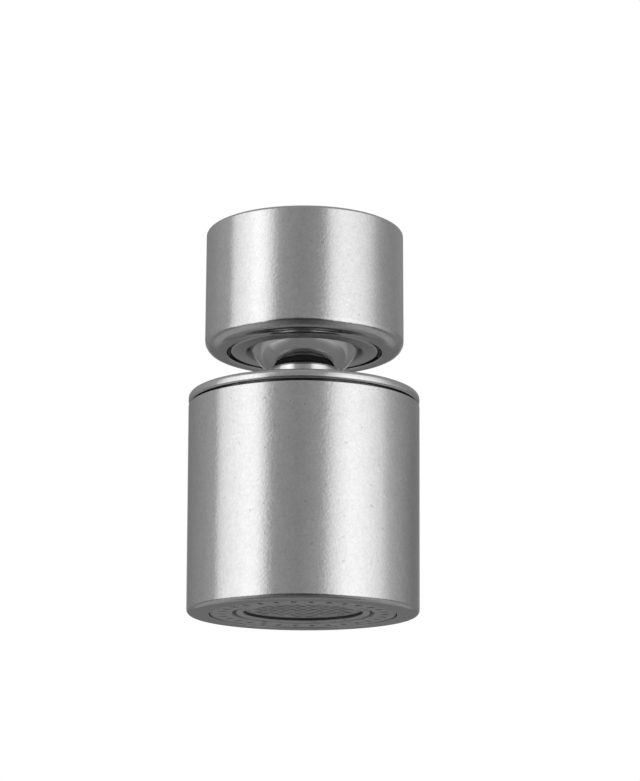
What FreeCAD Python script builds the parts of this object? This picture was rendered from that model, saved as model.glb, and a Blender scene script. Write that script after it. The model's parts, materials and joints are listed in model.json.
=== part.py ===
import FreeCAD, Part
import math
import os
import re

import Sketcher

# Swivel tap aerator with two outlets: a union nut for the tap's spout, a ball joint under it, and a
# spray head whose casing slides down to change from the aerated jet to the ring of spray slots.
# Millimetres. +Z points up the common axis, and the origin is the centre of the flat outlet rim.

FULL_TURN = 360.0
ZERO = "0"
TINY = 1e-6
EDGE_MATCH = 1e-4

doc = FreeCAD.newDocument("TapAerator")


# Driving sizes

SIZES = {
    # Radii at the outlet, each counted on from the one before, middle first
    "insert_bore": 6.5,
    "insert_wall": 0.7,
    "tube_wall": 1.25,
    "outlet_gap": 0.56,
    "outlet_lip": 0.84,
    "plate_inner_wall": 0.5,
    "slot_inset": 0.7,
    "slot_length": 1.2,
    "slot_width": 0.65,
    "slot_count": 30,
    "slot_border": 0.85,
    "plate_channel_border": 0.5,
    "plate_ledge": 0.7,
    "casing_step": 0.6,
    "casing_wall": 1.65,
    "casing_draft": 0.15,
    "casing_edge_round": 0.5,
    "casing_top_round": 0.15,
    # Heights at the outlet
    "plate_inset": 0.1,
    "insert_inset": 0.2,
    "lip_height": 1.2,
    "plate_floor": 1.2,
    "plate_flange": 1.4,
    "insert_flange": 2.0,
    "insert_length": 6.0,
    "outlet_lip_round": 0.15,
    "honeycomb_recess": 0.5,
    "honeycomb_thickness": 0.8,
    "honeycomb_rim": 0.3,
    "cell_width": 1.1,
    "cell_wall": 0.3,
    # Aerator stack inside its housing
    "screen_thickness": 0.2,
    "screen_rim": 0.7,
    "screen_hole": 0.95,
    "screen_wire": 0.35,
    "spacer_height": 0.9,
    "spacer_wall": 0.65,
    "mixing_height": 2.0,
    "mixing_wall": 0.8,
    "vane_reach": 1.3,
    "vane_width": 0.5,
    "vane_count": 12,
    "breaker_height": 1.4,
    "breaker_rim": 0.6,
    "jet_diameter": 0.8,
    "jet_circle": 4.6,
    "jet_count": 16,
    "boss_radius": 2.4,
    "regulator_width": 1.2,
    "regulator_height": 0.8,
    "filter_thickness": 0.4,
    "filter_hole": 1.2,
    "filter_wire": 0.5,
    "gasket_thickness": 0.8,
    "gasket_width": 1.7,
    # Core, sleeve and the travel between them
    "mode_travel": 3.5,
    "seal_section": 0.8,
    "groove_play": 0.2,
    "chamber_seal_rise": 1.2,
    "wall_overlap": 0.15,
    "stop_clearance": 0.2,
    "stop_thickness": 1.0,
    "chamber_radius": 6.4,
    "land_overlap": 1.1,
    "port_to_seal": 1.8,
    "port_diameter": 1.6,
    "port_count": 6,
    "recess_height": 1.6,
    "recess_depth": 0.85,
    "window_diameter": 1.4,
    "upper_land": 1.9,
    "sleeve_flange": 1.5,
    "sleeve_passage": 0.5,
    "sleeve_wall": 2.0,
    "stop_reach": 0.75,
    # Cover
    "skirt_clearance": 0.4,
    "skirt_depth": 2.85,
    "rim_rise": 1.85,
    "seam_gap": 0.25,
    "cover_rim": 1.25,
    "cover_round": 0.8,
    "hub_chamfer": 0.25,
    # Stem with its washer, clip and seal
    "neck_radius": 4.2,
    "stem_bore": 2.3,
    "stem_washer_thickness": 0.65,
    "stem_washer_width": 2.1,
    "clip_thickness": 0.65,
    "clip_groove_play": 0.1,
    "clip_depth": 0.7,
    "clip_width": 1.7,
    "clip_opening": 60.0,
    "clip_room": 0.25,
    "cavity_width": 2.6,
    "stem_seal_section": 1.1,
    "stem_seal_drop": 2.05,
    "socket_below_seal": 2.25,
    "stem_end_gap": 0.2,
    "socket_floor": 1.0,
    # Ball joint
    "ball_radius": 7.6,
    "ball_flat": 6.4,
    "neck_fillet": 0.3,
    "nut_above_cover": 5.5,
    "ball_above_lip": 3.8,
    "ball_gap": 0.05,
    "mouth_inset": 0.2,
    "mouth_depth": 1.0,
    "ring_wall": 2.15,
    "ring_inset": 0.1,
    "ring_rebate": 0.35,
    "ring_rebate_depth": 0.8,
    "ring_above_ball": 0.8,
    "slip_play": 0.05,
    "seat_ring_height": 3.65,
    "seat_seal_rise": 1.4,
    "ball_seal_section": 1.3,
    "ball_seal_rise": 3.85,
    "ball_seal_play": 0.05,
    # Nut
    "nut_wall": 1.55,
    "nut_lip_round": 1.3,
    "nut_top_round": 0.4,
    "thread_radius": 11.0,
    "thread_length": 3.4,
    "thread_chamfer": 0.3,
    "relief_depth": 0.25,
    "web_inset": 0.6,
    "web_thickness": 1.2,
    "screen_flange": 0.4,
    "dome_gap": 0.2,
    "dome_wall": 0.25,
    "dome_hole": 0.9,
    "dome_pitch": 1.7,
    "dome_inner_count": 6,
    "dome_outer_count": 12,
    "washer_thickness": 2.0,
    "washer_width": 3.6,
    # Clearances between pieces that screw, run or slide on each other
    "thread_gap": 0.05,
    "running_gap": 0.05,
    "slide_gap": 0.15,
    "tube_gap": 0.3,
    "skirt_gap": 0.4,
}

sizes = doc.addObject("Spreadsheet::Sheet", "Sizes")
for row, (alias, number) in enumerate(SIZES.items(), start=1):
    sizes.set(f"A{row}", alias)
    sizes.set(f"B{row}", str(number))
    sizes.setAlias(f"B{row}", alias)
doc.recompute()


# Places worked out from the sizes

places = doc.addObject("App::VarSet", "Places")


def full_name(match):
    """Size or place as the document's formulas write it."""
    word = match.group()
    return f"Sizes.{word}" if word in SIZES else f"Places.{word}"


def formula(text):
    """Formula with the full name of each size and place; sqrt keeps its own name."""
    return re.sub(r"\b[a-z][a-z_]+\b(?!\()", full_name, text)


def measure(text):
    """Value of a sum or difference of sizes and places."""
    total = 0.0
    sign = 1.0
    for word in text.split():
        if word in "+-":
            sign = 1.0 if word == "+" else -1.0
        elif word != ZERO:
            total += sign * getattr(sizes if word in SIZES else places, word)
    return total


def set_places(table):
    """Add each place of a table of names and formulas."""
    for name, text in table.items():
        places.addProperty("App::PropertyFloat", name, "Places")
        places.setExpression(name, formula(text))
    doc.recompute()


def set_radii_on_spheres(table):
    """Add radii where spheres about the ball's centre cross heights: name, (sphere, height)."""
    set_places({
        name: f"sqrt(({sphere}) * ({sphere}) - ({height} - ball_z) * ({height} - ball_z))"
        for name, (sphere, height) in table.items()
    })


# Radii of the head, from the aerator outwards
set_places({
    "insert_radius": "insert_bore + insert_wall",
    "tube_bore": "insert_radius + thread_gap",
    "tube_radius": "tube_bore + tube_wall",
    "plate_hole": "tube_radius + tube_gap",
    "insert_flange_radius": "plate_hole - outlet_gap",
    "pocket_radius": "insert_flange_radius - outlet_lip",
    "honeycomb_radius": "pocket_radius - thread_gap",
    "stack_radius": "insert_bore - thread_gap",
    "channel_inner": "plate_hole + plate_inner_wall",
    "slot_start": "plate_hole + slot_inset",
    "slot_end": "slot_start + slot_length",
    "channel_outer": "slot_end + plate_channel_border",
    "lip_bore": "slot_end + slot_border",
    "plate_radius": "lip_bore - thread_gap",
    "casing_bore": "lip_bore + plate_ledge",
    "plate_flange_radius": "casing_bore - thread_gap",
    "casing_upper_bore": "casing_bore + casing_step",
    "casing_radius": "casing_upper_bore + casing_wall",
    "casing_foot_radius": "casing_radius - casing_draft",
    "sleeve_radius": "casing_bore - sleeve_passage",
    "land_bore": "sleeve_radius - sleeve_wall",
    "core_radius": "land_bore - slide_gap",
    "recess_radius": "land_bore + recess_depth",
    "sleeve_flange_radius": "casing_upper_bore - thread_gap",
    "stop_radius": "land_bore + stop_reach",
    "skirt_radius": "casing_upper_bore - skirt_gap",
    "skirt_bore": "core_radius + thread_gap",
    "hub_hole": "neck_radius + running_gap",
    "cavity_radius": "neck_radius + cavity_width",
    "seal_half": "seal_section / 2",
    "port_seal_ring": "land_bore - running_gap - seal_half",
    "port_groove": "port_seal_ring - seal_half",
    "chamber_seal_ring": "plate_hole - running_gap - seal_half",
    "chamber_groove": "chamber_seal_ring - seal_half",
    "sleeve_seal_ring": "casing_upper_bore - running_gap - seal_half",
    "sleeve_groove": "sleeve_seal_ring - seal_half",
    "groove_half": "seal_half + groove_play / 2",
    "stem_seal_half": "stem_seal_section / 2",
    "stem_seal_ring": "hub_hole - running_gap - stem_seal_half",
    "stem_groove": "stem_seal_ring - stem_seal_half",
    "stem_groove_half": "stem_seal_half + groove_play / 2",
    "clip_groove": "neck_radius - clip_depth",
    "clip_bore": "clip_groove + running_gap",
    "clip_radius": "clip_bore + clip_width",
    "stem_washer_radius": "hub_hole + stem_washer_width",
})

# Heights of the head, from the outlet up
set_places({
    "plate_floor_top": "plate_inset + plate_floor",
    "plate_flange_top": "lip_height + plate_flange",
    "honeycomb_bottom": "insert_inset + honeycomb_recess",
    "honeycomb_top": "honeycomb_bottom + honeycomb_thickness",
    "insert_flange_top": "insert_inset + insert_flange",
    "insert_top": "insert_flange_top + insert_length",
    "gasket_top": "insert_top + gasket_thickness",
    "chamber_seal_z": "insert_flange_top + chamber_seal_rise",
    "plate_wall_top": "chamber_seal_z + groove_half + mode_travel + wall_overlap",
    "stop_bottom": "plate_wall_top + stop_clearance",
    "stop_top": "stop_bottom + stop_thickness",
    "sleeve_bottom": "stop_top + mode_travel",
    "lower_seal_z": "sleeve_bottom + land_overlap",
    "port_z": "lower_seal_z + port_to_seal",
    "upper_seal_z": "port_z + port_to_seal",
    "recess_bottom": "port_z + mode_travel - recess_height / 2",
    "window_z": "port_z + mode_travel",
    "recess_top": "recess_bottom + recess_height",
    "sleeve_top": "recess_top + upper_land",
    "casing_step_z": "sleeve_top - sleeve_flange",
    "sleeve_seal_z": "casing_step_z + sleeve_flange / 2",
    "skirt_bottom": "sleeve_top + skirt_clearance",
    "hub_bottom": "skirt_bottom + skirt_depth",
    "rim_bottom": "hub_bottom + rim_rise",
    "casing_top": "rim_bottom - seam_gap",
    "cover_top": "rim_bottom + cover_rim",
})

# Heights of the stem's end, from the cover's hub down
set_places({
    "stem_washer_bottom": "hub_bottom - stem_washer_thickness",
    "clip_bottom": "stem_washer_bottom - clip_thickness",
    "clip_groove_bottom": "clip_bottom - clip_groove_play",
    "socket_top": "clip_groove_bottom - clip_room",
    "stem_seal_z": "socket_top - stem_seal_drop",
    "socket_bottom": "stem_seal_z - socket_below_seal",
    "stem_end": "socket_bottom + stem_end_gap",
    "chamber_top": "socket_bottom - socket_floor",
})

# Heights and radii of the aerator stack, from its outlet disc up
set_places({
    "spacer_bottom": "honeycomb_top + screen_thickness",
    "spacer_top": "spacer_bottom + spacer_height",
    "mixing_bottom": "spacer_top + screen_thickness",
    "mixing_top": "mixing_bottom + mixing_height",
    "breaker_top": "mixing_top + breaker_height",
    "regulator_top": "breaker_top + regulator_height",
    "filter_bottom": "insert_top - filter_thickness",
    "spacer_bore": "stack_radius - spacer_wall",
    "mixing_bore": "stack_radius - mixing_wall",
    "vane_start": "mixing_bore - vane_reach",
    "breaker_rim_radius": "stack_radius - breaker_rim",
    "regulator_bore": "boss_radius + running_gap",
    "regulator_radius": "regulator_bore + regulator_width",
    "gasket_bore": "insert_radius - gasket_width",
    "slot_half": "slot_width / 2",
    "slot_near_centre": "slot_start + slot_half",
    "slot_far_centre": "slot_end - slot_half",
})

# Heights of the ball joint and the nut, from the cover up
set_places({
    "nut_bottom": "cover_top + nut_above_cover",
    "ball_z": "nut_bottom + ball_above_lip",
    "ball_flat_z": "ball_z + ball_flat",
    "ring_face": "nut_bottom + ring_inset",
    "throat_z": "ring_face + mouth_depth",
    "rebate_z": "ring_face + ring_rebate_depth",
    "ring_top": "ball_z + ring_above_ball",
    "seat_bottom": "ring_top + slip_play",
    "seat_top": "seat_bottom + seat_ring_height",
    "seat_seal_z": "seat_bottom + seat_seal_rise",
    "ball_seal_half": "ball_seal_section / 2",
    "ball_seal_z": "ball_z + ball_seal_rise",
    "seal_pocket_z": "ball_seal_z - ball_seal_half",
    "web_bottom": "seat_top + slip_play",
    "web_top": "web_bottom + web_thickness",
    "screen_flange_top": "web_top + screen_flange",
    "washer_top": "screen_flange_top + washer_thickness",
    "thread_top": "washer_top + thread_length",
    "nut_top": "thread_top + thread_chamfer",
})

# Radii of the ball joint and the nut, from the ball outwards
set_places({
    "seat_radius": "ball_radius + ball_gap",
    "mouth_radius": "ball_radius - mouth_inset",
    "ring_radius": "ball_radius + ring_wall",
    "ring_face_radius": "ring_radius - ring_rebate",
    "nut_bore": "ring_radius + thread_gap",
    "nut_radius": "thread_radius + nut_wall",
    "seat_ring_radius": "nut_bore - slide_gap",
    "seat_seal_ring": "nut_bore - running_gap - seal_half",
    "seat_groove": "seat_seal_ring - seal_half",
    "web_bore": "ball_radius - web_inset",
    "relief_radius": "thread_radius + relief_depth",
    "thread_mouth": "thread_radius + thread_chamfer",
    "washer_radius": "relief_radius - thread_gap",
    "washer_bore": "washer_radius - washer_width",
    "dome_inside": "ball_radius + dome_gap",
    "dome_outside": "dome_inside + dome_wall",
    "dome_bottom_z": "ball_z + dome_inside",
    "dome_top_z": "ball_z + dome_outside",
    "ball_seal_reach": "seat_radius + ball_seal_half",
})
set_radii_on_spheres({
    "ball_flat_radius": ("ball_radius", "ball_flat_z"),
    "throat_radius": ("seat_radius", "throat_z"),
    "seat_bottom_radius": ("seat_radius", "seat_bottom"),
    "seat_pocket_inner": ("seat_radius", "seal_pocket_z"),
    "ball_seal_ring": ("ball_seal_reach", "ball_seal_z"),
    "dome_inner_foot": ("dome_inside", "web_top"),
    "dome_outer_foot": ("dome_outside", "screen_flange_top"),
})
set_places({
    "seal_pocket_radius": "ball_seal_ring + ball_seal_half + ball_seal_play",
    "neck_drop": "sqrt(ball_radius * ball_radius - neck_radius * neck_radius)",
    "neck_top": "ball_z - neck_drop",
})


# Tools that every turned piece uses

def new_body(label):
    """Empty body with the piece's own label."""
    body = doc.addObject("PartDesign::Body", label)
    body.Label = label
    return body


def origin_feature(body, role):
    """Plane or axis of a body's own origin."""
    for feature in body.Origin.OriginFeatures:
        if feature.Role == role:
            return feature
    raise ValueError(role)


def new_sketch(body, name, role):
    """Sketch on one of the body's origin planes."""
    sketch = body.newObject("Sketcher::SketchObject", name)
    sketch.AttachmentSupport = (origin_feature(body, role), [""])
    sketch.MapMode = "FlatFace"
    return sketch


def pin_point(sketch, curve, end, name, radius, height):
    """Hold a curve's end at a radius and a height, or on the axis or the base where that is zero."""
    if radius == ZERO:
        sketch.addConstraint(Sketcher.Constraint("PointOnObject", curve, end, -2))
    else:
        across = Sketcher.Constraint("DistanceX", -1, 1, curve, end, measure(radius))
        index = sketch.addConstraint(across)
        sketch.renameConstraint(index, f"{name}_r")
        sketch.setExpression(f"Constraints.{name}_r", formula(radius))
    if height == ZERO:
        sketch.addConstraint(Sketcher.Constraint("PointOnObject", curve, end, -1))
    else:
        up = Sketcher.Constraint("DistanceY", -1, 1, curve, end, measure(height))
        index = sketch.addConstraint(up)
        sketch.renameConstraint(index, f"{name}_z")
        sketch.setExpression(f"Constraints.{name}_z", formula(height))


def draw_outline(sketch, corners, rounds):
    """Closed outline through named corners; an edge that starts at a corner in rounds is an arc
    about the ball's centre."""
    names = list(corners)
    points = [FreeCAD.Vector(measure(r), measure(z), 0) for r, z in corners.values()]
    ends = []
    for index, name in enumerate(names):
        start = points[index]
        finish = points[(index + 1) % len(points)]
        if name not in rounds:
            curve = sketch.addGeometry(Part.LineSegment(start, finish), False)
            ends.append((curve, 1, 2))
            continue
        centre = FreeCAD.Vector(0, measure("ball_z"), 0)
        low, high = sorted((start, finish), key=lambda point: point.y)
        angles = [math.atan2(point.y - centre.y, point.x) for point in (low, high)]
        circle = Part.Circle(centre, FreeCAD.Vector(0, 0, 1), (start - centre).Length)
        curve = sketch.addGeometry(Part.ArcOfCircle(circle, *angles), False)
        ends.append((curve, 1, 2) if low is start else (curve, 2, 1))
        sketch.addConstraint(Sketcher.Constraint("PointOnObject", curve, 3, -2))
    for index, name in enumerate(names):
        curve, first, _ = ends[index]
        before, _, last = ends[index - 1]
        sketch.addConstraint(Sketcher.Constraint("Coincident", before, last, curve, first))
        pin_point(sketch, curve, first, name, *corners[name])


def turn(body, name, corners, rounds=(), angle=FULL_TURN):
    """Revolve an outline of radii and heights about the body's Z axis."""
    sketch = new_sketch(body, f"{name}Outline", "XZ_Plane")
    draw_outline(sketch, corners, rounds)
    solid = body.newObject("PartDesign::Revolution", name)
    solid.Profile = sketch
    solid.ReferenceAxis = (sketch, ["V_Axis"])
    solid.Angle = angle
    doc.recompute()
    return solid


def circle_edges(shape, radius, height):
    """Names of the shape's round edges of one radius at one height."""
    names = []
    for index, edge in enumerate(shape.Edges, start=1):
        curve = edge.Curve
        if curve.TypeId != "Part::GeomCircle":
            continue
        same_size = abs(curve.Radius - measure(radius)) < EDGE_MATCH
        same_place = abs(curve.Center.z - measure(height)) < EDGE_MATCH
        if same_size and same_place:
            names.append(f"Edge{index}")
    return names


def dress(body, kind, name, base, size, corner):
    """Fillet or chamfer the round edge at one corner of an outline."""
    feature = body.newObject(f"PartDesign::{kind}", name)
    feature.Base = (base, circle_edges(base.Shape, *corner))
    feature.setExpression("Radius" if kind == "Fillet" else "Size", formula(size))
    doc.recompute()
    return feature


def must_differ(before, after):
    """Stop where a cut or an added rib misses the solid that it is meant for."""
    if abs(before.Shape.Volume - after.Shape.Volume) < TINY:
        raise ValueError(f"{after.Label} leaves {before.Label} as it was")


def repeat_round(body, name, feature, count):
    """Copy a feature evenly round the Z axis."""
    pattern = body.newObject("PartDesign::PolarPattern", name)
    pattern.Originals = [feature]
    pattern.Axis = (origin_feature(body, "Z_Axis"), [""])
    pattern.Angle = FULL_TURN
    pattern.setExpression("Occurrences", formula(count))
    body.Tip = pattern
    doc.recompute()
    must_differ(feature, pattern)
    return pattern


def drill(body, name, role, diameter, across, up, reach):
    """Round hole that starts on one of the body's planes and runs square to it."""
    base = body.Tip
    hole = body.newObject("PartDesign::SubtractiveCylinder", name)
    hole.AttachmentSupport = (origin_feature(body, role), [""])
    hole.MapMode = "FlatFace"
    hole.setExpression("Radius", formula(f"{diameter} / 2"))
    hole.setExpression("Height", formula(reach))
    hole.setExpression("AttachmentOffset.Base.x", formula(across))
    hole.setExpression("AttachmentOffset.Base.y", formula(up))
    doc.recompute()
    must_differ(base, hole)
    return hole


def radial_holes(body, name, diameter, height, reach, count):
    """Ring of round holes at one height, drilled from the axis outwards."""
    hole = drill(body, f"{name}Drill", "YZ_Plane", diameter, ZERO, height, reach)
    return repeat_round(body, name, hole, count)


def upright_holes(body, name, diameter, circle, reach, count):
    """Ring of round holes on one pitch circle, drilled from the outlet's plane upwards."""
    hole = drill(body, f"{name}Drill", "XY_Plane", diameter, circle, ZERO, reach)
    return repeat_round(body, name, hole, count)


def rubber_ring(label, ring, half, height):
    """Rubber ring of round section."""
    seal = doc.addObject("Part::Torus", label)
    seal.Label = label
    seal.setExpression("Radius1", formula(ring))
    seal.setExpression("Radius2", formula(half))
    seal.setExpression("Placement.Base.z", formula(height))
    return seal


def flat_ring(label, inner, outer, bottom, top):
    """Plain ring of rectangular section."""
    body = new_body(label)
    turn(body, "Ring", {
        "inner_foot": (inner, bottom),
        "outer_foot": (outer, bottom),
        "outer_top": (outer, top),
        "inner_top": (inner, top),
    })
    return body


def pierced_disc(label, radius, bottom, thickness, cell, pitch, border, shift=0.0):
    """Disc with rows of straight cells, whole cells only, inside a plain border."""
    foot = FreeCAD.Vector(0, 0, measure(bottom))
    up = FreeCAD.Vector(0, 0, measure(thickness))
    disc = Part.makeCylinder(measure(radius), up.z, foot)
    room = measure(radius) - measure(border) - cell[0].Length
    across, along = pitch
    row_count = int(room / along)
    column_count = int(room / across) + 1
    holes = []
    for row in range(-row_count, row_count + 1):
        for column in range(-column_count, column_count + 1):
            centre = FreeCAD.Vector((column + shift * (row % 2)) * across, row * along, 0)
            if centre.Length <= room:
                outline = Part.makePolygon([corner + foot + centre for corner in cell])
                holes.append(Part.Face(outline).extrude(up))
    piece = doc.addObject("Part::Feature", label)
    piece.Label = label
    piece.Shape = disc.cut(Part.makeCompound(holes))
    piece.Placement = FreeCAD.Placement()
    return piece


def regular_cell(sides, across_flats):
    """Closed corner points of a regular cell with flats square to X."""
    radius = across_flats / 2 / math.cos(math.pi / sides)
    corners = []
    for index in range(sides + 1):
        angle = math.tau * (index + 0.5) / sides
        corners.append(FreeCAD.Vector(radius * math.cos(angle), radius * math.sin(angle), 0))
    return corners


# Nut and the pieces held in it

def make_tap_nut():
    """Union nut: threaded mouth above, web for the washer, and the ball's bore below."""
    body = new_body("tap_nut")
    lip = ("nut_radius", "nut_bottom")
    crown = ("nut_radius", "nut_top")
    blank = turn(body, "Nut", {
        "bore_foot": ("nut_bore", "nut_bottom"),
        "lip": lip,
        "crown": crown,
        "mouth": ("thread_mouth", "nut_top"),
        "thread_end": ("thread_radius", "thread_top"),
        "thread_start": ("thread_radius", "washer_top"),
        "relief_top": ("relief_radius", "washer_top"),
        "relief_foot": ("relief_radius", "web_top"),
        "web_upper": ("web_bore", "web_top"),
        "web_lower": ("web_bore", "web_bottom"),
        "bore_top": ("nut_bore", "web_bottom"),
    })
    rounded = dress(body, "Fillet", "LipRound", blank, "nut_lip_round", lip)
    dress(body, "Fillet", "CrownRound", rounded, "nut_top_round", crown)
    return body


def make_ball_retaining_ring():
    """Threaded ring that carries the ball on a spherical seat, open below in a flared mouth."""
    body = new_body("ball_retaining_ring")
    turn(body, "Ring", {
        "mouth": ("mouth_radius", "ring_face"),
        "face": ("ring_face_radius", "ring_face"),
        "rebate": ("ring_face_radius", "rebate_z"),
        "thread": ("ring_radius", "rebate_z"),
        "top": ("ring_radius", "ring_top"),
        "bore_top": ("seat_radius", "ring_top"),
        "equator": ("seat_radius", "ball_z"),
        "throat": ("throat_radius", "throat_z"),
    }, rounds=("equator",))
    return body


def make_ball_seat_ring():
    """Slip ring over the ball, with a pocket for the ball's seal and a groove for the nut's."""
    body = new_body("ball_seat_ring")
    turn(body, "Ring", {
        "seat_foot": ("seat_bottom_radius", "seat_bottom"),
        "foot": ("seat_ring_radius", "seat_bottom"),
        "groove_low": ("seat_ring_radius", "seat_seal_z - groove_half"),
        "groove_low_root": ("seat_groove", "seat_seal_z - groove_half"),
        "groove_high_root": ("seat_groove", "seat_seal_z + groove_half"),
        "groove_high": ("seat_ring_radius", "seat_seal_z + groove_half"),
        "top": ("seat_ring_radius", "seat_top"),
        "pocket_mouth": ("seal_pocket_radius", "seat_top"),
        "pocket_floor": ("seal_pocket_radius", "seal_pocket_z"),
        "seat_end": ("seat_pocket_inner", "seal_pocket_z"),
    }, rounds=("seat_end",))
    return body


def make_inlet_screen():
    """Domed strainer over the ball, with rings of round holes and a flat flange."""
    body = new_body("inlet_screen")
    turn(body, "Dome", {
        "inner_foot": ("dome_inner_foot", "web_top"),
        "flange_foot": ("washer_radius", "web_top"),
        "flange_top": ("washer_radius", "screen_flange_top"),
        "outer_foot": ("dome_outer_foot", "screen_flange_top"),
        "crown": (ZERO, "dome_top_z"),
        "inner_crown": (ZERO, "dome_bottom_z"),
    }, rounds=("outer_foot", "inner_crown"))
    drill(body, "CentreHole", "XY_Plane", "dome_hole", ZERO, ZERO, "nut_top")
    upright_holes(body, "InnerHoles", "dome_hole", "dome_pitch", "nut_top", "dome_inner_count")
    upright_holes(body, "OuterHoles", "dome_hole", "dome_pitch + dome_pitch", "nut_top",
                  "dome_outer_count")
    return body


# Ball, neck and stem

def make_ball_stem():
    """Ball with a flat top, neck and grooved stem, bored right through."""
    body = new_body("ball_stem")
    blank = turn(body, "Ball", {
        "bore_foot": ("stem_bore", "stem_end"),
        "foot": ("neck_radius", "stem_end"),
        "seal_low": ("neck_radius", "stem_seal_z - stem_groove_half"),
        "seal_low_root": ("stem_groove", "stem_seal_z - stem_groove_half"),
        "seal_high_root": ("stem_groove", "stem_seal_z + stem_groove_half"),
        "seal_high": ("neck_radius", "stem_seal_z + stem_groove_half"),
        "clip_low": ("neck_radius", "clip_groove_bottom"),
        "clip_low_root": ("clip_groove", "clip_groove_bottom"),
        "clip_high_root": ("clip_groove", "stem_washer_bottom"),
        "clip_high": ("neck_radius", "stem_washer_bottom"),
        "neck": ("neck_radius", "neck_top"),
        "flat": ("ball_flat_radius", "ball_flat_z"),
        "bore_top": ("stem_bore", "ball_flat_z"),
    }, rounds=("neck",))
    dress(body, "Fillet", "NeckFillet", blank, "neck_fillet", ("neck_radius", "neck_top"))
    return body


def make_stem_clip():
    """Open spring clip in the stem's groove."""
    body = new_body("stem_clip")
    clip = turn(body, "Clip", {
        "inner_foot": ("clip_bore", "clip_bottom"),
        "outer_foot": ("clip_radius", "clip_bottom"),
        "outer_top": ("clip_radius", "stem_washer_bottom"),
        "inner_top": ("clip_bore", "stem_washer_bottom"),
    })
    clip.setExpression("Angle", formula("360 - clip_opening"))
    return body


# Head: cover and core

def make_top_cover():
    """Cover with a rounded rim over the seam, a hub round the neck and a threaded skirt."""
    body = new_body("top_cover")
    rim = ("casing_radius", "cover_top")
    hub = ("hub_hole", "cover_top")
    blank = turn(body, "Cover", {
        "hub_foot": ("hub_hole", "hub_bottom"),
        "socket_top": ("skirt_bore", "hub_bottom"),
        "socket_mouth": ("skirt_bore", "skirt_bottom"),
        "skirt_foot": ("skirt_radius", "skirt_bottom"),
        "skirt_top": ("skirt_radius", "rim_bottom"),
        "rim_foot": ("casing_radius", "rim_bottom"),
        "rim": rim,
        "hub": hub,
    })
    rounded = dress(body, "Fillet", "RimRound", blank, "cover_round", rim)
    dress(body, "Chamfer", "HubChamfer", rounded, "hub_chamfer", hub)
    return body


def make_core_body():
    """Core: stem socket above, port chamber in the middle, stop flange and aerator tube below."""
    body = new_body("core_body")
    turn(body, "Core", {
        "tube_bore_foot": ("tube_bore", "insert_flange_top"),
        "tube_foot": ("tube_radius", "insert_flange_top"),
        "tube_groove_low": ("tube_radius", "chamber_seal_z - groove_half"),
        "tube_root_low": ("chamber_groove", "chamber_seal_z - groove_half"),
        "tube_root_high": ("chamber_groove", "chamber_seal_z + groove_half"),
        "tube_groove_high": ("tube_radius", "chamber_seal_z + groove_half"),
        "stop_inner": ("tube_radius", "stop_bottom"),
        "stop_foot": ("stop_radius", "stop_bottom"),
        "stop": ("stop_radius", "stop_top"),
        "wall_foot": ("core_radius", "stop_top"),
        "lower_groove_low": ("core_radius", "lower_seal_z - groove_half"),
        "lower_root_low": ("port_groove", "lower_seal_z - groove_half"),
        "lower_root_high": ("port_groove", "lower_seal_z + groove_half"),
        "lower_groove_high": ("core_radius", "lower_seal_z + groove_half"),
        "upper_groove_low": ("core_radius", "upper_seal_z - groove_half"),
        "upper_root_low": ("port_groove", "upper_seal_z - groove_half"),
        "upper_root_high": ("port_groove", "upper_seal_z + groove_half"),
        "upper_groove_high": ("core_radius", "upper_seal_z + groove_half"),
        "top": ("core_radius", "hub_bottom"),
        "cavity_mouth": ("cavity_radius", "hub_bottom"),
        "cavity_floor": ("cavity_radius", "socket_top"),
        "socket_mouth": ("hub_hole", "socket_top"),
        "socket": ("hub_hole", "socket_bottom"),
        "throat_top": ("stem_bore", "socket_bottom"),
        "throat_foot": ("stem_bore", "chamber_top"),
        "chamber": ("chamber_radius", "chamber_top"),
        "chamber_foot": ("chamber_radius", "gasket_top"),
        "ledge": ("tube_bore", "gasket_top"),
    })
    radial_holes(body, "Ports", "port_diameter", "port_z", "stop_radius", "port_count")
    return body


# Aerator

def make_aerator_housing():
    """Threaded housing with the visible lip ring, a pocket below and a straight bore above."""
    body = new_body("aerator_housing")
    lip = ("insert_flange_radius", "insert_inset")
    blank = turn(body, "Housing", {
        "pocket_mouth": ("pocket_radius", "insert_inset"),
        "lip": lip,
        "flange_top": ("insert_flange_radius", "insert_flange_top"),
        "body_foot": ("insert_radius", "insert_flange_top"),
        "body_top": ("insert_radius", "insert_top"),
        "bore_top": ("insert_bore", "insert_top"),
        "bore_foot": ("insert_bore", "honeycomb_top"),
        "pocket_top": ("pocket_radius", "honeycomb_top"),
    })
    dress(body, "Fillet", "LipRound", blank, "outlet_lip_round", lip)
    return body


def make_honeycomb_outlet():
    """Outlet disc with hexagonal cells, every second row moved by half a cell."""
    across = measure("cell_width + cell_wall")
    pitch = (across, across * math.sin(math.pi / 3))
    return pierced_disc("honeycomb_outlet", "honeycomb_radius", "honeycomb_bottom",
                        "honeycomb_thickness", regular_cell(6, measure("cell_width")), pitch,
                        "honeycomb_rim", shift=0.5)


def make_mesh(label, bottom, thickness, hole, wire):
    """Mesh disc with square openings."""
    across = measure(f"{hole} + {wire}")
    return pierced_disc(label, "stack_radius", bottom, thickness,
                        regular_cell(4, measure(hole)), (across, across), "screen_rim")


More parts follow.
